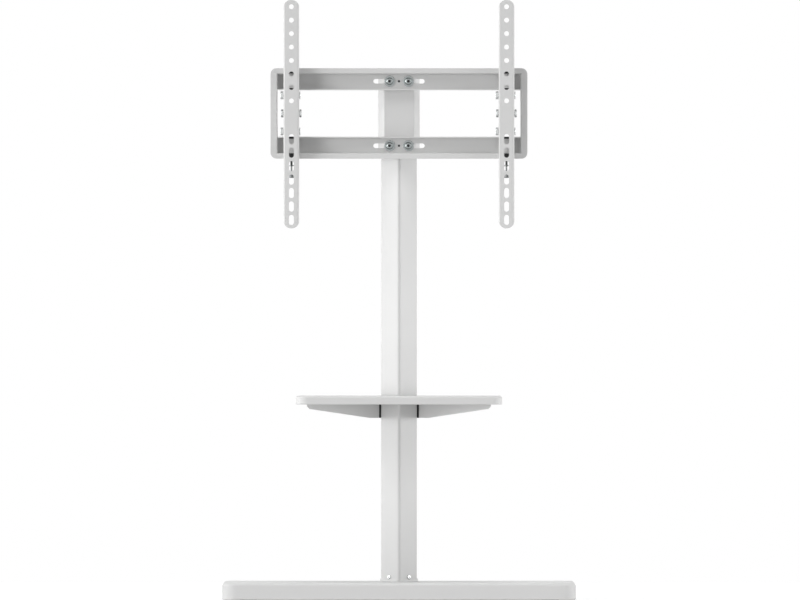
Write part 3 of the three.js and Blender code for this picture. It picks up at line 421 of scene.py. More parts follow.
def add_profile(name, outline, axis, low, high):
    """A disc whose rim is laid on an outline, pulled along X, Y or Z."""
    deselect()
    bpy.ops.mesh.primitive_circle_add(vertices=len(outline), radius=1, fill_type="NGON")
    piece = bpy.context.object
    across = [i for i in range(3) if i != axis]
    for vertex, (u, v) in zip(piece.data.vertices, outline):
        vertex.co[axis] = low
        vertex.co[across[0]] = u
        vertex.co[across[1]] = v
    step = Vector((0, 0, 0))
    step[axis] = high - low
    edit_all()
    bpy.ops.mesh.extrude_region_move(TRANSFORM_OT_translate={"value": step})
    face_outwards()
    return rest_in_place(piece, name)


def add_turned(name, section, sides=SMALL_SIDES):
    """A turned piece about Z: a disc that is pulled up and resized ring by ring."""
    radius, height = section[0]
    deselect()
    bpy.ops.mesh.primitive_circle_add(
        vertices=sides, radius=radius, fill_type="NGON", location=(0, 0, height)
    )
    piece = rest_in_place(bpy.context.object, name)
    edit_all()
    for next_radius, next_height in section[1:]:
        step = (0, 0, next_height - height)
        bpy.ops.mesh.extrude_region_move(TRANSFORM_OT_translate={"value": step})
        grow = next_radius / radius
        bpy.ops.transform.resize(
            value=(grow, grow, 1), center_override=(0, 0, next_height)
        )
        radius, height = next_radius, next_height
    face_outwards()
    return piece


def choose(piece, kind, test):
    """Enters edit mode with just the edges or faces selected that pass a test."""
    activate(piece)
    mesh = piece.data
    for elements in (mesh.vertices, mesh.edges, mesh.polygons):
        elements.foreach_set("select", [False] * len(elements))
    if kind == "EDGE":
        for edge in mesh.edges:
            edge.select = test(*[mesh.vertices[i].co for i in edge.vertices])
    else:
        for face in mesh.polygons:
            face.select = test(face.center, face.normal)
    bpy.context.tool_settings.mesh_select_mode = (False, kind == "EDGE", kind == "FACE")
    bpy.ops.object.mode_set(mode="EDIT")


def round_edges(piece, test, radius, segments):
    """Rounds the edges whose two ends pass a test."""
    choose(piece, "EDGE", test)
    bpy.ops.mesh.bevel(offset=radius, segments=segments, profile=0.5, affect="EDGES")
    bpy.ops.object.mode_set(mode="OBJECT")


def runs_along(axis, *conditions):
    """A test for edges that run along an axis, with other conditions on their first end."""

    def test(a, b):
        along = (b - a).normalized()
        return abs(along[axis]) > 1 - NEAR and all(condition(a) for condition in conditions)

    return test


def lies_at(axis, place):
    """A test for edges that lie wholly at one place on an axis."""
    return lambda a, b: abs(a[axis] - place) < NEAR and abs(b[axis] - place) < NEAR


def hollow(piece, opened, wall):
    """Opens a block at the faces that pass a test and gives the rest a wall."""
    choose(piece, "FACE", opened)
    bpy.ops.mesh.delete(type="FACE")
    bpy.ops.object.mode_set(mode="OBJECT")
    with_modifier(piece, "SOLIDIFY", thickness=wall, offset=-1, use_even_offset=True)


def with_modifier(piece, kind, **values):
    """Adds a modifier, sets its values and applies it."""
    activate(piece)
    bpy.ops.object.modifier_add(type=kind)
    modifier = piece.modifiers[-1]
    for key, value in values.items():
        setattr(modifier, key, value)
    bpy.ops.object.modifier_apply(modifier=modifier.name)
    return piece


def combine(piece, tool, operation="DIFFERENCE"):
    """Cuts, joins or trims a piece with a tool, which is then removed."""
    with_modifier(piece, "BOOLEAN", object=tool, operation=operation, solver="EXACT")
    bpy.data.objects.remove(tool, do_unlink=True)
    return piece


def repeat(piece, count, step):
    return with_modifier(
        piece, "ARRAY", count=count, use_relative_offset=False, use_constant_offset=True,
        constant_offset_displace=step,
    )


def clean(piece):
    """Merges loose faces and clears needless edges from flat places."""
    activate(piece)
    edit_all()
    bpy.ops.mesh.remove_doubles(threshold=MERGE)
    bpy.ops.mesh.dissolve_limited(angle_limit=FLAT_ANGLE)
    face_outwards()
    return piece


def soften(piece, width, segments=2):
    """Breaks the sharp edges and shades the rest smooth."""
    clean(piece)
    with_modifier(
        piece, "BEVEL", width=width, segments=segments, limit_method="ANGLE",
        angle_limit=SHARP_ANGLE, use_clamp_overlap=False,
    )
    activate(piece)
    bpy.ops.object.shade_smooth_by_angle(angle=SMOOTH_ANGLE)
    return with_modifier(piece, "WEIGHTED_NORMAL", keep_sharp=True)


# Placing

def numbered(stem, count=4):
    return [f"{stem}_{i + 1}" for i in range(count)]


def middle(node):
    low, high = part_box(node)
    return (low + high) / 2


def moved(place, *turns):
    """A matrix that turns a model about the named axes, the last first, and then moves it."""
    matrix = Matrix.Translation(place)
    for angle, axis in turns:
        matrix = matrix @ Matrix.Rotation(angle, 4, axis)
    return matrix


def on_column():
    """The turn and the place of a square tube that stands corner first on the column's axis."""
    centre = middle("column")
    return moved((centre.x, centre.y, 0), (QUARTER / 2, "Z"))


def copy_node(node, name):
    """A merged copy of a frame node, to be finished."""
    piece = bpy.data.objects.new(name, frame["nodes"][node].data.copy())
    bpy.context.collection.objects.link(piece)
    return clean(piece)


def copy_piece(piece, name, matrix):
    """A copy with a mesh of its own, laid in another place."""
    twin = bpy.data.objects.new(name, piece.data.copy())
    bpy.context.collection.objects.link(twin)
    twin.matrix_world = matrix
    return rest_in_place(twin, name)


def settle(piece, node, kind=None):
    """Gives a finished piece its finish and its body, in place of a frame node."""
    piece.data.materials.clear()
    piece.data.materials.append(finish_for(node, kind))
    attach(piece, node_body[node])
    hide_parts(node)


def settle_shade_piece(piece, node):
    """Gives a dark piece of painted shade, which the frame lacks, its finish and the body of a
    node.
    """
    piece.data.materials.append(finish_for(SHADE_PIECE_NODE))
    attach(piece, node_body[node])


def lay(model, node, matrix, kind=None):
    """Settles a copy of a model in the place of a frame node."""
    settle(copy_piece(model, f"{node}_finished", matrix), node, kind)


def settle_softened(node, edge, segments=2, name=None):
    """Settles a copy of a frame node with softened edges."""
    settle(soften(copy_node(node, name or f"{node}_finished"), edge, segments), node)


def settle_pair(model, stem, names):
    """Settles a left piece and its copy on the right."""
    step = middle(f"right_{stem}") - middle(f"left_{stem}")
    twin = copy_piece(model, names[1], Matrix.Translation(step))
    for piece, side in zip((model, twin), SIDES):
        settle(piece, f"{side}_{stem}")


def dress(node):
    """Gives a frame node that keeps its own shape its finish."""
    thing = frame["nodes"][node]
    if not thing.material_slots:
        thing.data.materials.append(None)
    thing.material_slots[0].link = "OBJECT"
    thing.material_slots[0].material = finish_for(node)


def discard(*models):
    for model in models:
        bpy.data.objects.remove(model)


# Finishes

def feed(tree, socket, value):
    """Links a socket to another one, or sets it to a plain value."""
    if isinstance(value, bpy.types.NodeSocket):
        tree.links.new(value, socket)
    else:
        socket.default_value = value


def new_node(tree, kind, **values):
    node = tree.nodes.new(kind)
    for socket, value in values.items():
        feed(tree, node.inputs[socket], value)
    return node


def maths(tree, operation, first, second):
    """A math node on sockets or plain numbers."""
    node = tree.nodes.new("ShaderNodeMath")
    node.operation = operation
    feed(tree, node.inputs[0], first)
    feed(tree, node.inputs[1], second)
    return node.outputs[0]


def times(tree, first, second):
    return maths(tree, "MULTIPLY", first, second)


def noise(tree, scale, detail=3.0):
    """Noise that keeps to the piece's own coordinates."""
    place = tree.nodes.new("ShaderNodeTexCoord").outputs["Object"]
    node = new_node(tree, "ShaderNodeTexNoise", Vector=place, Scale=scale, Detail=detail)
    return node.outputs["Fac"]


def drifting_tone(tree, given):
    """Slow drift of a colour over a surface, with a finer drift over it."""
    finer, fine_share = 45.0, 0.4
    slow = noise(tree, given["Scale"], detail=2.0)
    fine = noise(tree, times(tree, given["Scale"], finer))
    both = maths(tree, "ADD", slow, times(tree, fine, fine_share))
    swing = maths(tree, "SUBTRACT", both, (1 + fine_share) / 2)
    gain = maths(tree, "ADD", times(tree, swing, given["Spread"]), 1.0)
    scale = tree.nodes.new("ShaderNodeVectorMath")
    scale.operation = "SCALE"
    feed(tree, scale.inputs[0], given["Colour"])
    feed(tree, scale.inputs["Scale"], gain)
    return scale.outputs[0]


def skin_height(tree, given):
    """Height of a sprayed or moulded skin: soft pebbles with fine dust over them."""
    finer = 5.0
    pebbles = noise(tree, given["Scale"], detail=1.0)
    dust = noise(tree, times(tree, given["Scale"], finer), detail=2.0)
    return maths(tree, "ADD", pebbles, times(tree, dust, given["Dust"]))


def handled_sheen(tree, given):
    """Roughness that varies a little, as on a wiped or handled surface."""
    smears = noise(tree, given["Scale"], detail=4.0)
    swing = times(tree, maths(tree, "SUBTRACT", smears, 0.5), given["Spread"])
    return maths(tree, "ADD", given["Roughness"], swing)


def thin_edges(tree, given):
    """Mask of the outer edges, where a finish thins and catches the light."""
    reach, gain, speckle_scale = 0.0012, 6.0, 260.0
    bevel = new_node(tree, "ShaderNodeBevel", Radius=reach)
    bevel.samples = 4
    geometry = tree.nodes.new("ShaderNodeNewGeometry")
    dot = tree.nodes.new("ShaderNodeVectorMath")
    dot.operation = "DOT_PRODUCT"
    feed(tree, dot.inputs[0], bevel.outputs["Normal"])
    feed(tree, dot.inputs[1], geometry.outputs["Normal"])
    bend = maths(tree, "SUBTRACT", 1.0, dot.outputs["Value"])
    mask = times(tree, times(tree, bend, gain), noise(tree, speckle_scale))
    return maths(tree, "MINIMUM", times(tree, mask, given["Strength"]), 1.0)


# What fills each effect, its output, and its inputs with the values that they start from.
EFFECTS = {
    "tone drift": (
        drifting_tone, "Colour", {"Colour": (0.8, 0.8, 0.8, 1), "Spread": 0.03, "Scale": 6.0},
    ),
    "skin height": (skin_height, "Height", {"Scale": 700.0, "Dust": 0.2}),
    "handled sheen": (
        handled_sheen, "Roughness", {"Roughness": 0.4, "Spread": 0.1, "Scale": 20.0},
    ),
    "thin edges": (thin_edges, "Mask", {"Strength": 1.0}),
}


def effect_group(name):
    """The shader node group of an effect, built once."""
    if name in bpy.data.node_groups:
        return bpy.data.node_groups[name]
    fill, output, inputs = EFFECTS[name]
    tree = bpy.data.node_groups.new(name, "ShaderNodeTree")
    for socket, value in inputs.items():
        kind = "NodeSocketColor" if isinstance(value, tuple) else "NodeSocketFloat"
        made = tree.interface.new_socket(socket, in_out="INPUT", socket_type=kind)
        made.default_value = value
    kind = "NodeSocketColor" if output == "Colour" else "NodeSocketFloat"
    tree.interface.new_socket(output, in_out="OUTPUT", socket_type=kind)
    start = tree.nodes.new("NodeGroupInput")
    end = tree.nodes.new("NodeGroupOutput")
    tree.links.new(fill(tree, start.outputs), end.inputs[output])
    return tree


def placed(tree, name, **values):
    """The output of an effect that is placed in a material with its own values."""
    node = tree.nodes.new("ShaderNodeGroup")
    node.node_tree = effect_group(name)
    for socket, value in values.items():
        node.inputs[socket].default_value = value
    return node.outputs[EFFECTS[name][1]]


def mixed(tree, mask, plain, tone):
    """A colour that gives way to another tone where a mask is high."""
    factor, from_colour, to_colour, result = 0, 6, 7, 2
    mix = tree.nodes.new("ShaderNodeMix")
    mix.data_type = "RGBA"
    feed(tree, mix.inputs[factor], mask)
    feed(tree, mix.inputs[from_colour], plain)
    feed(tree, mix.inputs[to_colour], tone)
    return mix.outputs[result]


def new_finish(name):
    """A material with its shader and no other nodes."""
    material = bpy.data.materials.new(name)
    material.use_nodes = True
    return material, material.node_tree, material.node_tree.nodes["Principled BSDF"]


def coloured(tree, base, edge, rub, drift, drift_scale):
    """A tone that drifts over the surface, with another tone at the thin edges."""
    tone = placed(tree, "tone drift", Colour=base, Spread=drift, Scale=drift_scale)
    return mixed(tree, placed(tree, "thin edges", Strength=rub), tone, edge)


def raised(tree, shader, height, relief):
    bump = new_node(tree, "ShaderNodeBump", Distance=relief, Strength=1.0, Height=height)
    feed(tree, shader.inputs["Normal"], bump.outputs["Normal"])


def lighter(base, gain):
    return (*[min(1.0, channel * gain) for channel in base[:3]], 1.0)


def surface(
    values, name, tone, gloss, edge, rub, drift, drift_scale, smear, smear_scale, skin, dust,
    relief, shine=None, metal=False,
):
    """A finish with a drifting tone, rubbed edges, smears in its gloss and a fine relief."""
    material, tree, shader = new_finish(name)
    base = getattr(values, tone)
    edge_tone = getattr(values, edge) if isinstance(edge, str) else lighter(base, edge)
    shown = coloured(tree, base, edge_tone, rub, drift, drift_scale)
    if metal:
        # Painted shade: the marked key-socket faces take the near-black dark tone.
        recess = tree.nodes.new("ShaderNodeAttribute")
        recess.attribute_name = SOCKET_SHADE
        shown = mixed(tree, recess.outputs["Fac"], shown, values.dark)
        shader.inputs["Metallic"].default_value = 1.0
    feed(tree, shader.inputs["Base Color"], shown)
    sheen = placed(
        tree, "handled sheen", Roughness=getattr(values, gloss), Spread=smear, Scale=smear_scale
    )
    feed(tree, shader.inputs["Roughness"], sheen)
    raised(tree, shader, placed(tree, "skin height", Scale=skin, Dust=dust), relief)
    if shine:
        shader.inputs["Specular IOR Level"].default_value = getattr(values, shine)
    return material


def felt_pad(values):
    """Pressed felt: matt, with short fibres."""
    fibre_scale, fibre_detail, relief = 2600.0, 6.0, 0.0003
    material, tree, shader = new_finish("felt")
    shown = coloured(
        tree, values.felt, lighter(values.felt, 1.6), rub=0.6, drift=0.5, drift_scale=90.0
    )
    feed(tree, shader.inputs["Base Color"], shown)
    raised(tree, shader, noise(tree, fibre_scale, fibre_detail), relief)
    shader.inputs["Roughness"].default_value = values.felt_gloss
    shader.inputs["Sheen Weight"].default_value = values.felt_sheen
    return material


# Tone, gloss and shine name a setting. Edge is the gain of the rubbed edges, or a setting's
# name. Rub is the strength of the rubbing, drift that of the tone's drift, smear that of the
# gloss's and dust that of the dust on the skin. Skin and the scales count per metre, and
# relief is the skin's height in metres.
COAT = dict(
    gloss="coat_gloss", shine="coat_shine", edge=1.04, rub=0.6, drift=0.02, drift_scale=7.0,
    smear=0.1, smear_scale=30.0, skin=720.0, dust=0.3, relief=0.00006,
)
ZINC = dict(
    gloss="zinc_gloss", metal=True, edge=1.35, rub=1.0, drift=0.22, drift_scale=160.0,
    smear=0.22, smear_scale=220.0, skin=1400.0, dust=0.6, relief=0.00003,
)
SURFACES = {
    "white_board": dict(
        name="board lacquer", tone="board", gloss="board_gloss", shine="board_shine",
        edge=1.03, rub=0.5, drift=0.02, drift_scale=5.0, smear=0.08, smear_scale=14.0,
        skin=260.0, dust=0.15, relief=0.00004,
    ),
    "white_coat": dict(COAT, name="powder coat", tone="coat"),
    "tube_coat": dict(COAT, name="tube coat", tone="tube_coat"),
    "white_plastic": dict(
        name="moulded plastic", tone="plastic", gloss="plastic_gloss", edge=1.05, rub=0.5,
        drift=0.015, drift_scale=12.0, smear=0.06, smear_scale=40.0, skin=1800.0, dust=0.5,
        relief=0.00004,
    ),
    # One zinc in three copies: this one darkened as painted shade, the pale one the plain tone, and
    # the thumb screws' one near black as painted shadow.
    "zinc_plate": dict(ZINC, name="zinc plate", tone="zinc"),
    "pale_zinc": dict(ZINC, name="pale zinc", tone="pale_zinc"),
    "dull_zinc": dict(ZINC, name="dull zinc", tone="dull_zinc"),
    "dark_steel": dict(
        name="dark steel", tone="dark", gloss="dark_gloss", edge="dark_edge", rub=0.7,
        drift=0.2, drift_scale=30.0, smear=0.15, smear_scale=60.0, skin=900.0, dust=0.4,
        relief=0.00006,
    ),
}
made_finishes = {}


def finish_for(node, kind=None):
    """The finish of a node's material slot, or another kind of it, made once."""
    kind = kind or node_slot[node]
    if kind not in made_finishes:
        values = bpy.context.scene.stand_finish
        made_finishes[kind] = (
            surface(values, **SURFACES[kind]) if kind in SURFACES else felt_pad(values)
        )
    return made_finishes[kind]


# Pieces

def base_board(sizes):
    """The base: rounded corners, a large round above and a recess for the plate below."""
    low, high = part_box("base_board")
    piece = add_block("base_panel", low, high)
    round_edges(piece, runs_along(2), sizes.base_corner, segments=14)
    round_edges(piece, lies_at(2, high.z), sizes.base_top, segments=8)
    round_edges(piece, lies_at(2, low.z), sizes.base_bottom, segments=4)
    plate_low, plate_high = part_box("base_plate")
    margin = Vector((sizes.recess_margin, sizes.recess_margin, 0))
    below = Vector((0, 0, OVERRUN))
    combine(piece, add_block("recess", plate_low - margin - below, plate_high + margin))
    return soften(piece, sizes.base_edge)


def shelf_board(sizes, column):
    """The shelf: rounded corners and a notch that clears the column."""
    low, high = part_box("shelf_board")
    piece = add_block("shelf_panel", low, high)
    at_front = runs_along(2, lambda a: a.y < 0)
    at_rear = runs_along(2, lambda a: abs(a.y - high.y) < NEAR)
    round_edges(piece, at_front, sizes.shelf_front, segments=12)
    round_edges(piece, at_rear, sizes.shelf_rear, segments=6)
    round_edges(piece, lies_at(2, high.z), sizes.shelf_top, segments=6)
    round_edges(piece, lies_at(2, low.z), sizes.shelf_bottom, segments=3)
    centre = middle("column")
    half = (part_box("column")[1].x - centre.x) + sizes.notch_gap
    reach = (column.width / 2 + sizes.notch_gap) * math.sqrt(2)
    back = high.y + OVERRUN
    notch = rounded([
        (centre.x, centre.y - reach, column.corner),
        (centre.x + half, centre.y - reach + half, 0),
        (centre.x + half, back, 0),
        (centre.x - half, back, 0),
        (centre.x - half, centre.y - reach + half, 0),
    ])
    combine(piece, add_profile("notch", notch, 2, low.z - OVERRUN, high.z + OVERRUN))
    return soften(piece, sizes.shelf_edge, segments=3)


def column_tube(sizes):
    """The square tube, set corner first, with a slot in each rear face."""
    low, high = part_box("column")
    half = sizes.width / 2
    piece = add_block("column_tube", (-half, -half, low.z), (half, half, high.z))
    round_edges(piece, runs_along(2), sizes.corner, segments=8)
    hollow(piece, lambda centre, normal: abs(normal.z) > LEVEL, sizes.wall)
    travel = joints["shelf_height"]["range_m"]
    height = middle("clamp_screw_1").z
    slot = upright_slot(0, height + travel[0], height + travel[1], sizes.slot_radius)
    right_slot = add_profile("slot", slot, 0, half - OVERRUN, half + OVERRUN)
    left_slot = copy_piece(right_slot, "slot copy", Matrix.Rotation(QUARTER, 4, "Z"))
    combine(piece, right_slot)
    combine(piece, left_slot)
    piece.matrix_world = on_column()
    return soften(rest_in_place(piece, "column_tube"), sizes.tube_edge)


def arm_side_outline(sizes, front, pivot, tilts, bottom, top):
    """Side view of an arm: a shallow channel with an ear round the tilt bolts."""
    slot_wall = sizes.bolt_clearance + sizes.ear_wall
    lower, upper = [
        pivot[1] + sizes.bolt_offset * math.sin(abs(tilt)) + slot_wall for tilt in tilts
    ]
    ear = sizes.bolt_offset + slot_wall
    shoulder = ear + sizes.arm_flange
    web = front + sizes.arm_sheet
    flange = front + sizes.arm_flange
    fade = sizes.arm_taper / 4
    level = pivot[2]
    return rounded([
        (front - OVERRUN, bottom - OVERRUN, 0),
        (web, bottom - OVERRUN, 0),
        (web, bottom + fade, 0),
        (flange, bottom + sizes.arm_taper, sizes.flange_round),
        (flange, level - shoulder, sizes.flange_round),
        (lower, level - ear, sizes.ear_round),
        (upper, level + ear, sizes.ear_round),
        (flange, level + shoulder, sizes.flange_round),
        (flange, top - sizes.arm_taper, sizes.flange_round),
        (web, top - fade, 0),
        (web, top + OVERRUN, 0),
        (front - OVERRUN, top + OVERRUN, 0),
    ])


def screen_arm(sizes):
    """An arm: a perforated channel with round ends and slotted tilt ears."""
    low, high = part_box("left_arm")
    pivot = joints["left_arm_tilt"]["pos_m"]
    tilts = [math.radians(limit) for limit in joints["left_arm_tilt"]["range_deg"]]
    front, back = low.y, high.y + OVERRUN
    across = (low.x - OVERRUN, high.x + OVERRUN)
    piece = add_block("left_arm_channel", low, (high.x, back, high.z))
    at_front = runs_along(2, lambda a: abs(a.y - front) < NEAR)
    round_edges(piece, at_front, sizes.arm_bend, segments=5)
    hollow(
        piece, lambda centre, normal: abs(normal.z) > LEVEL or abs(centre.y - back) < NEAR,
        sizes.arm_sheet,
    )
    outline = arm_side_outline(sizes, front, pivot, tilts, low.z, high.z)
    combine(piece, add_profile("side", outline, 0, *across), "INTERSECT")
    half = (high.x - low.x) / 2
    centre_x = low.x + half
    past_sides = half + sizes.arm_sheet / 20
    face = upright_slot(centre_x, low.z + half, high.z - half, past_sides, steps=24)
    combine(
        piece, add_profile("face", face, 1, front - OVERRUN, back + OVERRUN), "INTERSECT"
    )
    reach = (front - OVERRUN, front + 2 * sizes.arm_sheet)
    down = (0, 0, -sizes.hole_pitch)
    top = high.z - sizes.hole_drop
    hole = add_rod(
        "hole", (centre_x, reach[0], top), (centre_x, reach[1], top), sizes.hole_radius
    )
    combine(piece, repeat(hole, sizes.hole_count, down))
    level = high.z - sizes.slot_drop
    straight = sizes.slot_length / 2 - sizes.hole_radius
    slot = upright_slot(centre_x, level - straight, level + straight, sizes.hole_radius)
    combine(piece, repeat(add_profile("slots", slot, 1, *reach), sizes.slot_count, down))
    ends = [(end, pivot[1], pivot[2]) for end in across]
    combine(piece, add_rod("pivot hole", *ends, sizes.bolt_clearance))
    for quarters in (1, 3):
        slot = curved_slot(
            pivot[1:], sizes.bolt_offset, sizes.bolt_clearance,
            quarters * QUARTER - tilts[1], quarters * QUARTER - tilts[0],
        )
        combine(piece, add_profile("tilt slot", slot, 0, *across))
    return soften(piece, sizes.edge)


def hexagon_head(values, height, both_sides=False):
    """A hexagon with its corners turned down, standing on z = 0."""
    flat = values.across_flats / 2
    corner = flat / math.cos(math.pi / 6)
    crown = (corner - flat) * math.tan(math.pi / 6)
    past = corner * HEAD_BLANK
    section = [(past, crown), (past, height - crown), (flat, height)]
    section.insert(0, (flat if both_sides else past, 0))
    head = add_profile("hexagon", hexagon(corner), 2, 0, height)
    return combine(head, add_turned("blank", section, ROUND_SIDES), "INTERSECT")


def threaded_rod(values, radius, pitch, bottom, top):
    """A rod with a ridge for each turn of its thread and a chamfered tip."""
    depth = values.thread_depth * pitch / values.pitch
    section = [(radius - 2 * depth, bottom), (radius - depth, bottom + pitch / 2)]
    turns = int((top - bottom - pitch / 2) / pitch)
    for turn in range(turns):
        base = bottom + pitch * (turn + 0.5)
        section += [(radius, base + part * pitch) for part in CREST]
        section.append((radius - depth, base + pitch))
    section.append((radius - depth, top))
    return add_turned("thread", section)


def hex_bolt(values, height, shank):
    """A hexagon bolt that seats on z = 0, with its shank below."""
    head = hexagon_head(values, height)
    thread = threaded_rod(values, values.shank, values.pitch, -shank, height / 2)
    return soften(combine(head, thread, "UNION"), values.edge)


def hex_nut(values, thickness):
    """A nut that stands on z = 0."""
    nut = hexagon_head(values, thickness, both_sides=True)
    bore = values.shank + values.edge
    combine(nut, add_rod("bore", (0, 0, -OVERRUN), (0, 0, thickness + OVERRUN), bore))
    return soften(nut, values.edge)


def domed_screw(values, size):
    """A domed screw that seats on z = 0, with a hexagon key socket and a threaded shank."""
    radius, head_radius, height, shank, key = size
    rim = height * values.rim
    crown = head_radius * values.crown
    dome = [
        (crown + across * (head_radius - crown), rim + up * (height - rim))
        for across, up in arc((0, 0), 1, 0, QUARTER, 8)
    ]
    head = add_turned("head", [(head_radius, 0), *dome], ROUND_SIDES)
    key_corner = key / math.sqrt(3)
    combine(head, add_profile("socket", hexagon(key_corner), 2, rim, height + OVERRUN))
    pitch = values.pitch * radius / values.shank
    combine(head, threaded_rod(values, radius, pitch, -shank, rim / 2), "UNION")
    soften(head, values.edge)
    # The socket's inner faces are marked for painted shade.
    shade = head.data.attributes.new(SOCKET_SHADE, "FLOAT", "FACE")
    top = height - values.edge
    for face in head.data.polygons:
        inside = face.center.xy.length < key_corner + NEAR
        deep = inside and rim - NEAR < face.center.z < top
        shade.data[face.index].value = 1.0 if deep else 0.0
    return head


def safety_screw(values):
    """A thumb screw: threaded shank, collar, thin neck and a ribbed knob."""
    low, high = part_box("left_safety_screw")
    knob, neck, collar = values.knob, values.neck, values.collar
    chamfer = values.collar_chamfer
    knob_top = low.z + values.knob_height
    collar_low = low.z + values.collar_rise
    collar_high = collar_low + values.collar_height
    thread_low = collar_high - values.collar_height / 2
    shape = threaded_rod(values, values.thumb_shank, values.thumb_pitch, thread_low, high.z)
    stem = add_turned("stem", [
        (neck, knob_top - values.neck_sink),
        (neck, collar_low - values.neck_taper),
        (collar - chamfer, collar_low),
        (collar, collar_low + chamfer),
        (collar, collar_high - chamfer),
        (collar - chamfer, collar_high),
    ])
    combine(shape, stem, "UNION")
    half = math.pi / values.knob_ribs
    ridges = arc((0, 0), knob, 0, 2 * math.pi, values.knob_ribs)[:-1]
    grooves = arc(
        (0, 0), knob - values.rib_depth, half, half + 2 * math.pi, values.knob_ribs
    )[:-1]
    rim = [point for pair in zip(ridges, grooves) for point in pair]
    grip = add_profile("grip", rim, 2, low.z, knob_top)
    past = knob * KNOB_BLANK
    inset = knob - values.knob_chamfer
    blank = add_turned("blank", [
        (inset, low.z), (past, low.z + values.knob_chamfer),
        (past, knob_top - values.knob_chamfer), (inset, knob_top),
    ])
    combine(grip, blank, "INTERSECT")
    combine(shape, grip, "UNION")
    return soften(shape, values.knob_edge)


# Operators

class StandOperator:
    """What the operators of the stand share."""

    bl_options = {"REGISTER", "UNDO"}


class STAND_OT_base(StandOperator, bpy.types.Operator):
    """Adds the base board with its plate, bolts and glides"""

    bl_idname = "stand.base"
    bl_label = "Base"

    def execute(self, context):
        sizes = context.scene.stand_boards
        settle(base_board(sizes), "base_board")
        settle_softened("base_plate", sizes.plate_edge, name="base_steel_plate")
        for node in numbered("base_bolt"):
            settle_softened(node, sizes.bolt_edge)
        low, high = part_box("base_glide_1")
        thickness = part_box("base_board")[0].z
        pad = add_rod("pad", (0, 0, 0), (0, 0, thickness), (high.x - low.x) / 2)
        round_edges(pad, lies_at(2, 0), sizes.glide_round, segments=3)
        soften(pad, sizes.glide_edge)
        for node in numbered("base_glide"):
            place = middle(node)
            settle(copy_piece(pad, f"{node}_pad", moved((place.x, place.y, 0))), node)
        discard(pad)
        return {"FINISHED"}


class STAND_OT_column(StandOperator, bpy.types.Operator):
    """Adds the column with its socket, trim and cap"""

    bl_idname = "stand.column"
    bl_label = "Column"

    def execute(self, context):
        sizes = context.scene.stand_column
        # The column takes the darkened coat: painted shade.
        settle(column_tube(sizes), "column", "tube_coat")
        for node in ("foot_trim", "column_cap"):
            settle_softened(node, sizes.trim_edge, segments=3)
        dress("foot_socket")
        return {"FINISHED"}


class STAND_OT_head(StandOperator, bpy.types.Operator):
    """Adds the head bracket with its near-black centre pins, painted shade in the centre holes, and
    the rail frame
    """

    bl_idname = "stand.head"
    bl_label = "Head"

    def execute(self, context):
        values = context.scene.stand_sheet
        bracket = copy_node("head_bracket", "head_bracket_finished")
        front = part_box("head_bracket")[0].y

        def centre_rod(name, before, behind, height, radius):
            ends = [(0, front + place, height) for place in (-before, behind)]
            return add_rod(name, *ends, radius)

        # Bolts 1 and 3 give the heights of the two rows, each with a hole in its middle.
        for index in (1, 3):
            height = middle(f"frame_bolt_{index}").z
            hole = centre_rod("centre hole", OVERRUN, OVERRUN, height, values.centre_hole)
            combine(bracket, hole)
            # Each hole gets a near-black pin that fills it: painted shade in the hole.
            pin = centre_rod(
                f"frame_pin_{index}", values.pin_reach, values.pin_depth, height,
                values.centre_hole - values.pad_gap,
            )
            settle_shade_piece(soften(pin, values.edge), "rail_frame")
        settle(soften(bracket, values.edge), "head_bracket")
        settle_softened("rail_frame", values.edge)
        return {"FINISHED"}


class STAND_OT_shelf(StandOperator, bpy.types.Operator):
    """Adds the shelf with its bracket and clamp plates"""

    bl_idname = "stand.shelf"
    bl_label = "Shelf"

    def execute(self, context):
        scene = context.scene
        settle(shelf_board(scene.stand_boards, scene.stand_column), "shelf_board")
        settle_softened("shelf_bracket", scene.stand_sheet.edge)
        for node in numbered("clamp_plate", 2):
            dress(node)
        return {"FINISHED"}


class STAND_OT_shade_strips(StandOperator, bpy.types.Operator):
    """Adds the near-black strips where the shelf bracket passes the column's corners: painted shade
    for the crevices there
    """

    bl_idname = "stand.liners"
    bl_label = "Shelf liners"

    def execute(self, context):
        values = context.scene.stand_column
        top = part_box("shelf_board")[0].z
        bottom = top - values.liner_height
        end = values.liner_start - values.width / 2
        start = end - values.liner_width
        far = values.width / 2 + values.liner_gap
        near = far - values.liner_depth
        # Each strip is a near-black block in the crevice beside the column: painted shade.
        pieces = (
            add_block("left_shelf_liner", (start, near, bottom), (end, far, top)),
            add_block("right_shelf_liner", (near, start, bottom), (far, end, top)),
        )
        for piece in pieces:
            soften(piece, values.liner_depth / 4)
            piece.matrix_world = on_column()
            settle_shade_piece(rest_in_place(piece, piece.name), "shelf_bracket")
        return {"FINISHED"}


class STAND_OT_hooks(StandOperator, bpy.types.Operator):
    """Adds the two rail hooks"""

    bl_idname = "stand.hooks"
    bl_label = "Rail hooks"

    def execute(self, context):
        hook = soften(copy_node("left_rail_hook", "left_hook"), context.scene.stand_sheet.edge)
        settle_pair(hook, "rail_hook", ("left_hook", "right_hook"))
        return {"FINISHED"}


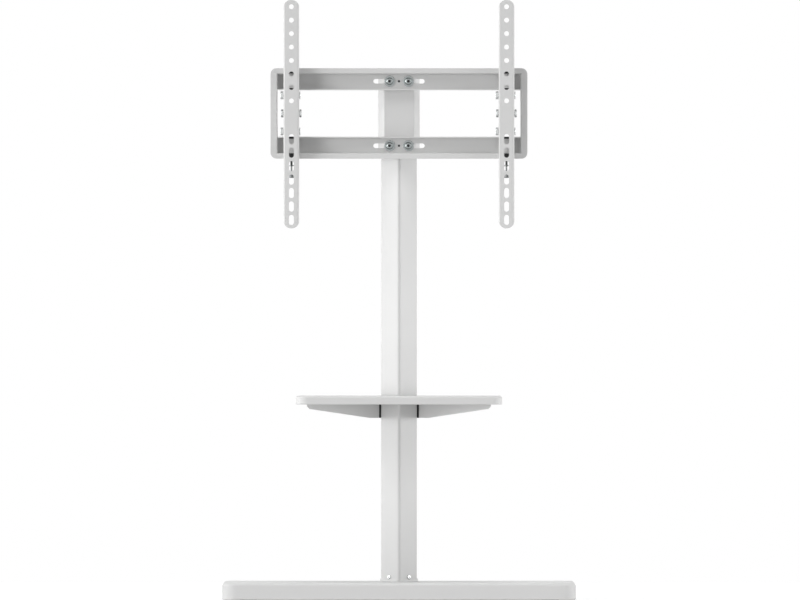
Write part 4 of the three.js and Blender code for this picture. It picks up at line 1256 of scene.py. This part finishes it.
class STAND_OT_hook_shade_pads(StandOperator, bpy.types.Operator):
    """Adds near-black pads that ride with the hooks on the frame's flanges: painted shade where the
    hooks enclose the rail
    """

    bl_idname = "stand.hook_pads"
    bl_label = "Hook pads"

    def execute(self, context):
        values = context.scene.stand_sheet
        low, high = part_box("rail_frame")
        tall, thin = values.pad_tall, values.pad_thin
        upper_window = high.z - values.rail_height
        lower_window = low.z + values.rail_height
        # The pads cover the flange and window edges that lie in the hooks' shade: painted shade.
        spans = (
            (high.z - tall, high.z),
            (upper_window, upper_window + thin),
            (lower_window - thin, lower_window),
            (low.z, low.z + tall),
        )
        back = low.y - values.pad_gap
        half = values.pad_width / 2
        for side in SIDES:
            node = f"{side}_rail_hook"
            across = middle(node).x
            for name, (bottom, top) in zip(numbered(f"{side}_hook_pad"), spans):
                piece = add_block(
                    name, (across - half, back - values.pad_sheet, bottom),
                    (across + half, back, top),
                )
                settle_shade_piece(soften(piece, values.edge), node)
        return {"FINISHED"}


class STAND_OT_arms(StandOperator, bpy.types.Operator):
    """Adds the two screen arms"""

    bl_idname = "stand.arms"
    bl_label = "Screen arms"

    def execute(self, context):
        arm = screen_arm(context.scene.stand_sheet)
        settle_pair(arm, "arm", ("left_arm_channel", "right_arm_channel"))
        return {"FINISHED"}


class STAND_OT_tilt_hardware(StandOperator, bpy.types.Operator):
    """Adds the bolts and nuts of the tilt joints and the safety screws"""

    bl_idname = "stand.tilt_hardware"
    bl_label = "Tilt hardware"

    def execute(self, context):
        values = context.scene.stand_hardware
        heads = {"pivot": values.low_head, "upper_tilt": values.head, "lower_tilt": values.head}
        made = []
        for place, head in heads.items():
            low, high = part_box(f"left_{place}_bolt")
            bolt = hex_bolt(values, head, high.x - low.x - head)
            low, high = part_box(f"left_{place}_nut")
            nut = hex_nut(values, high.x - low.x)
            made += [bolt, nut]
            for side in SIDES:
                bolt_node, nut_node = f"{side}_{place}_bolt", f"{side}_{place}_nut"
                seat = middle(bolt_node)
                seat.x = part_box(bolt_node)[0].x + head
                lay(bolt, bolt_node, moved(seat, (-QUARTER, "Y")), "pale_zinc")
                seat.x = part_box(nut_node)[0].x
                lay(nut, nut_node, moved(seat, (QUARTER, "Y")), "pale_zinc")
        thumb = safety_screw(values)
        for side in SIDES:
            node = f"{side}_safety_screw"
            spot = middle(node)
            # The thumb screws take the near-black zinc: painted shadow.
            lay(thumb, node, moved((spot.x, spot.y, 0)), "dull_zinc")
        discard(*made, thumb)
        return {"FINISHED"}


class STAND_OT_frame_hardware(StandOperator, bpy.types.Operator):
    """Adds the bolts and washers that hold the rail frame"""

    bl_idname = "stand.frame_hardware"
    bl_label = "Frame hardware"

    def execute(self, context):
        values = context.scene.stand_hardware
        bolt = domed_screw(values, values.frame_bolt)
        head_height = values.frame_bolt[2]
        low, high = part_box("frame_washer_1")
        thickness = high.y - low.y
        washer = add_rod("washer", (0, 0, 0), (0, 0, thickness), (high.x - low.x) / 2)
        bore_ends = ((0, 0, -OVERRUN), (0, 0, thickness + OVERRUN))
        combine(washer, add_rod("bore", *bore_ends, values.washer_bore))
        soften(washer, values.washer_edge)
        forward = (QUARTER, "X")
        for bolt_node, washer_node in zip(numbered("frame_bolt"), numbered("frame_washer")):
            seat = middle(bolt_node)
            seat.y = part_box(bolt_node)[0].y + head_height
            lay(bolt, bolt_node, moved(seat, forward))
            seat.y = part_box(washer_node)[1].y
            lay(washer, washer_node, moved(seat, forward))
        discard(bolt, washer)
        return {"FINISHED"}


class STAND_OT_small_screws(StandOperator, bpy.types.Operator):
    """Adds the screws of the column, the head bracket and the shelf"""

    bl_idname = "stand.small_screws"
    bl_label = "Small screws"

    def execute(self, context):
        scene = context.scene
        values = scene.stand_hardware
        axis = middle("column")
        face = scene.stand_column.width / 2
        lean = face + values.bracket_seat
        small = domed_screw(values, values.small_screw)
        clamp = domed_screw(values, values.clamp_screw)
        board = domed_screw(values, values.board_screw)
        # The nodes, their model, its seat's distance from the axis and the faces it sits in.
        rows = (
            (numbered("column_foot_screw"), small, face, 4),
            (numbered("head_screw"), small, lean, 2),
            (numbered("clamp_screw", 2), clamp, lean, 2),
        )
        for nodes, model, reach, faces in rows:
            out = Matrix.Translation((0, 0, reach + values.seat_gap))
            for index, node in enumerate(nodes):
                spin = QUARTER / 2 + index % faces * QUARTER
                spot = (axis.x, axis.y, middle(node).z)
                lay(model, node, moved(spot, (spin, "Z"), (QUARTER, "Y")) @ out, "pale_zinc")
        for node in numbered("shelf_screw"):
            spot = middle(node)
            spot.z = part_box(node)[0].z + values.board_screw[2]
            lay(board, node, moved(spot, (math.pi, "X")))
        discard(small, clamp, board)
        return {"FINISHED"}


class STAND_OT_stage(StandOperator, bpy.types.Operator):
    """Adds the floor, the lamps, the world and the camera"""

    bl_idname = "stand.stage"
    bl_label = "Stage"

    def execute(self, context):
        scene = context.scene
        values = scene.stand_stage
        add_floor(values)
        add_world(scene, values)
        for name in LAMPS:
            add_lamp(name, values)
        add_camera(scene, values)
        scene.view_settings.view_transform = "Standard"
        return {"FINISHED"}


def seen_directly(tree):
    """1 for rays that show the background: from the camera, a mirror or through glass."""
    path = tree.nodes.new("ShaderNodeLightPath")
    either = maths(
        tree, "MAXIMUM", path.outputs["Is Camera Ray"], path.outputs["Is Glossy Ray"]
    )
    return maths(tree, "MAXIMUM", either, path.outputs["Is Transmission Ray"])


def add_floor(values):
    """A plain white floor that keeps the stand's shadow."""
    deselect()
    bpy.ops.mesh.primitive_plane_add(size=values.floor_size, location=(0, 0, 0))
    floor = rest_in_place(bpy.context.object, "floor")
    material, tree, shader = new_finish("floor")
    shader.inputs["Base Color"].default_value = (*[values.floor_tone] * 3, 1)
    shader.inputs["Roughness"].default_value = values.floor_gloss
    shader.inputs["Emission Color"].default_value = (1, 1, 1, 1)
    lift = times(tree, seen_directly(tree), values.floor_lift)
    tree.links.new(lift, shader.inputs["Emission Strength"])
    floor.data.materials.append(material)


def add_world(scene, values):
    """Even light from all round, seen as plain white."""
    world = bpy.data.worlds.new("studio")
    world.use_nodes = True
    scene.world = world
    tree = world.node_tree
    background = tree.nodes["Background"]
    background.inputs["Color"].default_value = (1, 1, 1, 1)
    seen = seen_directly(tree)
    rest = maths(tree, "SUBTRACT", 1.0, seen)
    strength = maths(tree, "ADD", seen, times(tree, rest, values.ambient))
    tree.links.new(strength, background.inputs["Strength"])


def add_lamp(name, values):
    """A broad, soft lamp, so many degrees aside from the camera and above the floor."""
    strength, aside, above = getattr(values, name)
    aside, above = math.radians(aside), math.radians(above)
    towards = Vector((
        math.sin(aside) * math.cos(above),
        -math.cos(aside) * math.cos(above),
        math.sin(above),
    ))
    deselect()
    bpy.ops.object.light_add(type="SUN", location=towards * values.lamp_distance)
    sun = bpy.context.object
    sun.name = name
    sun.rotation_euler = towards.to_track_quat("Z", "Y").to_euler()
    sun.data.energy = strength
    sun.data.angle = values.lamp_spread


def add_camera(scene, values):
    """A level camera far in front, with a long lens."""
    data = bpy.data.cameras.new("camera")
    data.lens = values.lens
    distance = values.field * data.lens / data.sensor_width
    camera = bpy.data.objects.new("camera", data)
    scene.collection.objects.link(camera)
    camera.location = (values.aside, -distance, values.height)
    camera.rotation_euler = (QUARTER, 0, 0)
    scene.camera = camera


STEPS = (
    STAND_OT_base,
    STAND_OT_column,
    STAND_OT_head,
    STAND_OT_shelf,
    STAND_OT_shade_strips,
    STAND_OT_hooks,
    STAND_OT_hook_shade_pads,
    STAND_OT_arms,
    STAND_OT_tilt_hardware,
    STAND_OT_frame_hardware,
    STAND_OT_small_screws,
    STAND_OT_stage,
)


class STAND_PT_panel(bpy.types.Panel):
    """Lists the steps that build the stand, and its settings"""

    bl_idname = "STAND_PT_panel"
    bl_label = "Screen Floor Stand"
    bl_space_type = "VIEW_3D"
    bl_region_type = "UI"
    bl_category = "Stand"

    def draw(self, context):
        for step in STEPS:
            self.layout.operator(step.bl_idname)
        for group in GROUPS:
            box = self.layout.box()
            settings = getattr(context.scene, group)
            for name in settings.__annotations__:
                box.prop(settings, name)


def register():
    for group in GROUPS.values():
        bpy.utils.register_class(group)
    for name, group in GROUPS.items():
        setattr(bpy.types.Scene, name, PointerProperty(type=group))
    for step in STEPS:
        bpy.utils.register_class(step)
    bpy.utils.register_class(STAND_PT_panel)


def unregister():
    bpy.utils.unregister_class(STAND_PT_panel)
    for step in reversed(STEPS):
        bpy.utils.unregister_class(step)
    for name, group in GROUPS.items():
        delattr(bpy.types.Scene, name)
        bpy.utils.unregister_class(group)


def main():
    register()
    for step in STEPS:
        section, name = step.bl_idname.split(".")
        getattr(getattr(bpy.ops, section), name)()


if __name__ == "__main__":
    main()
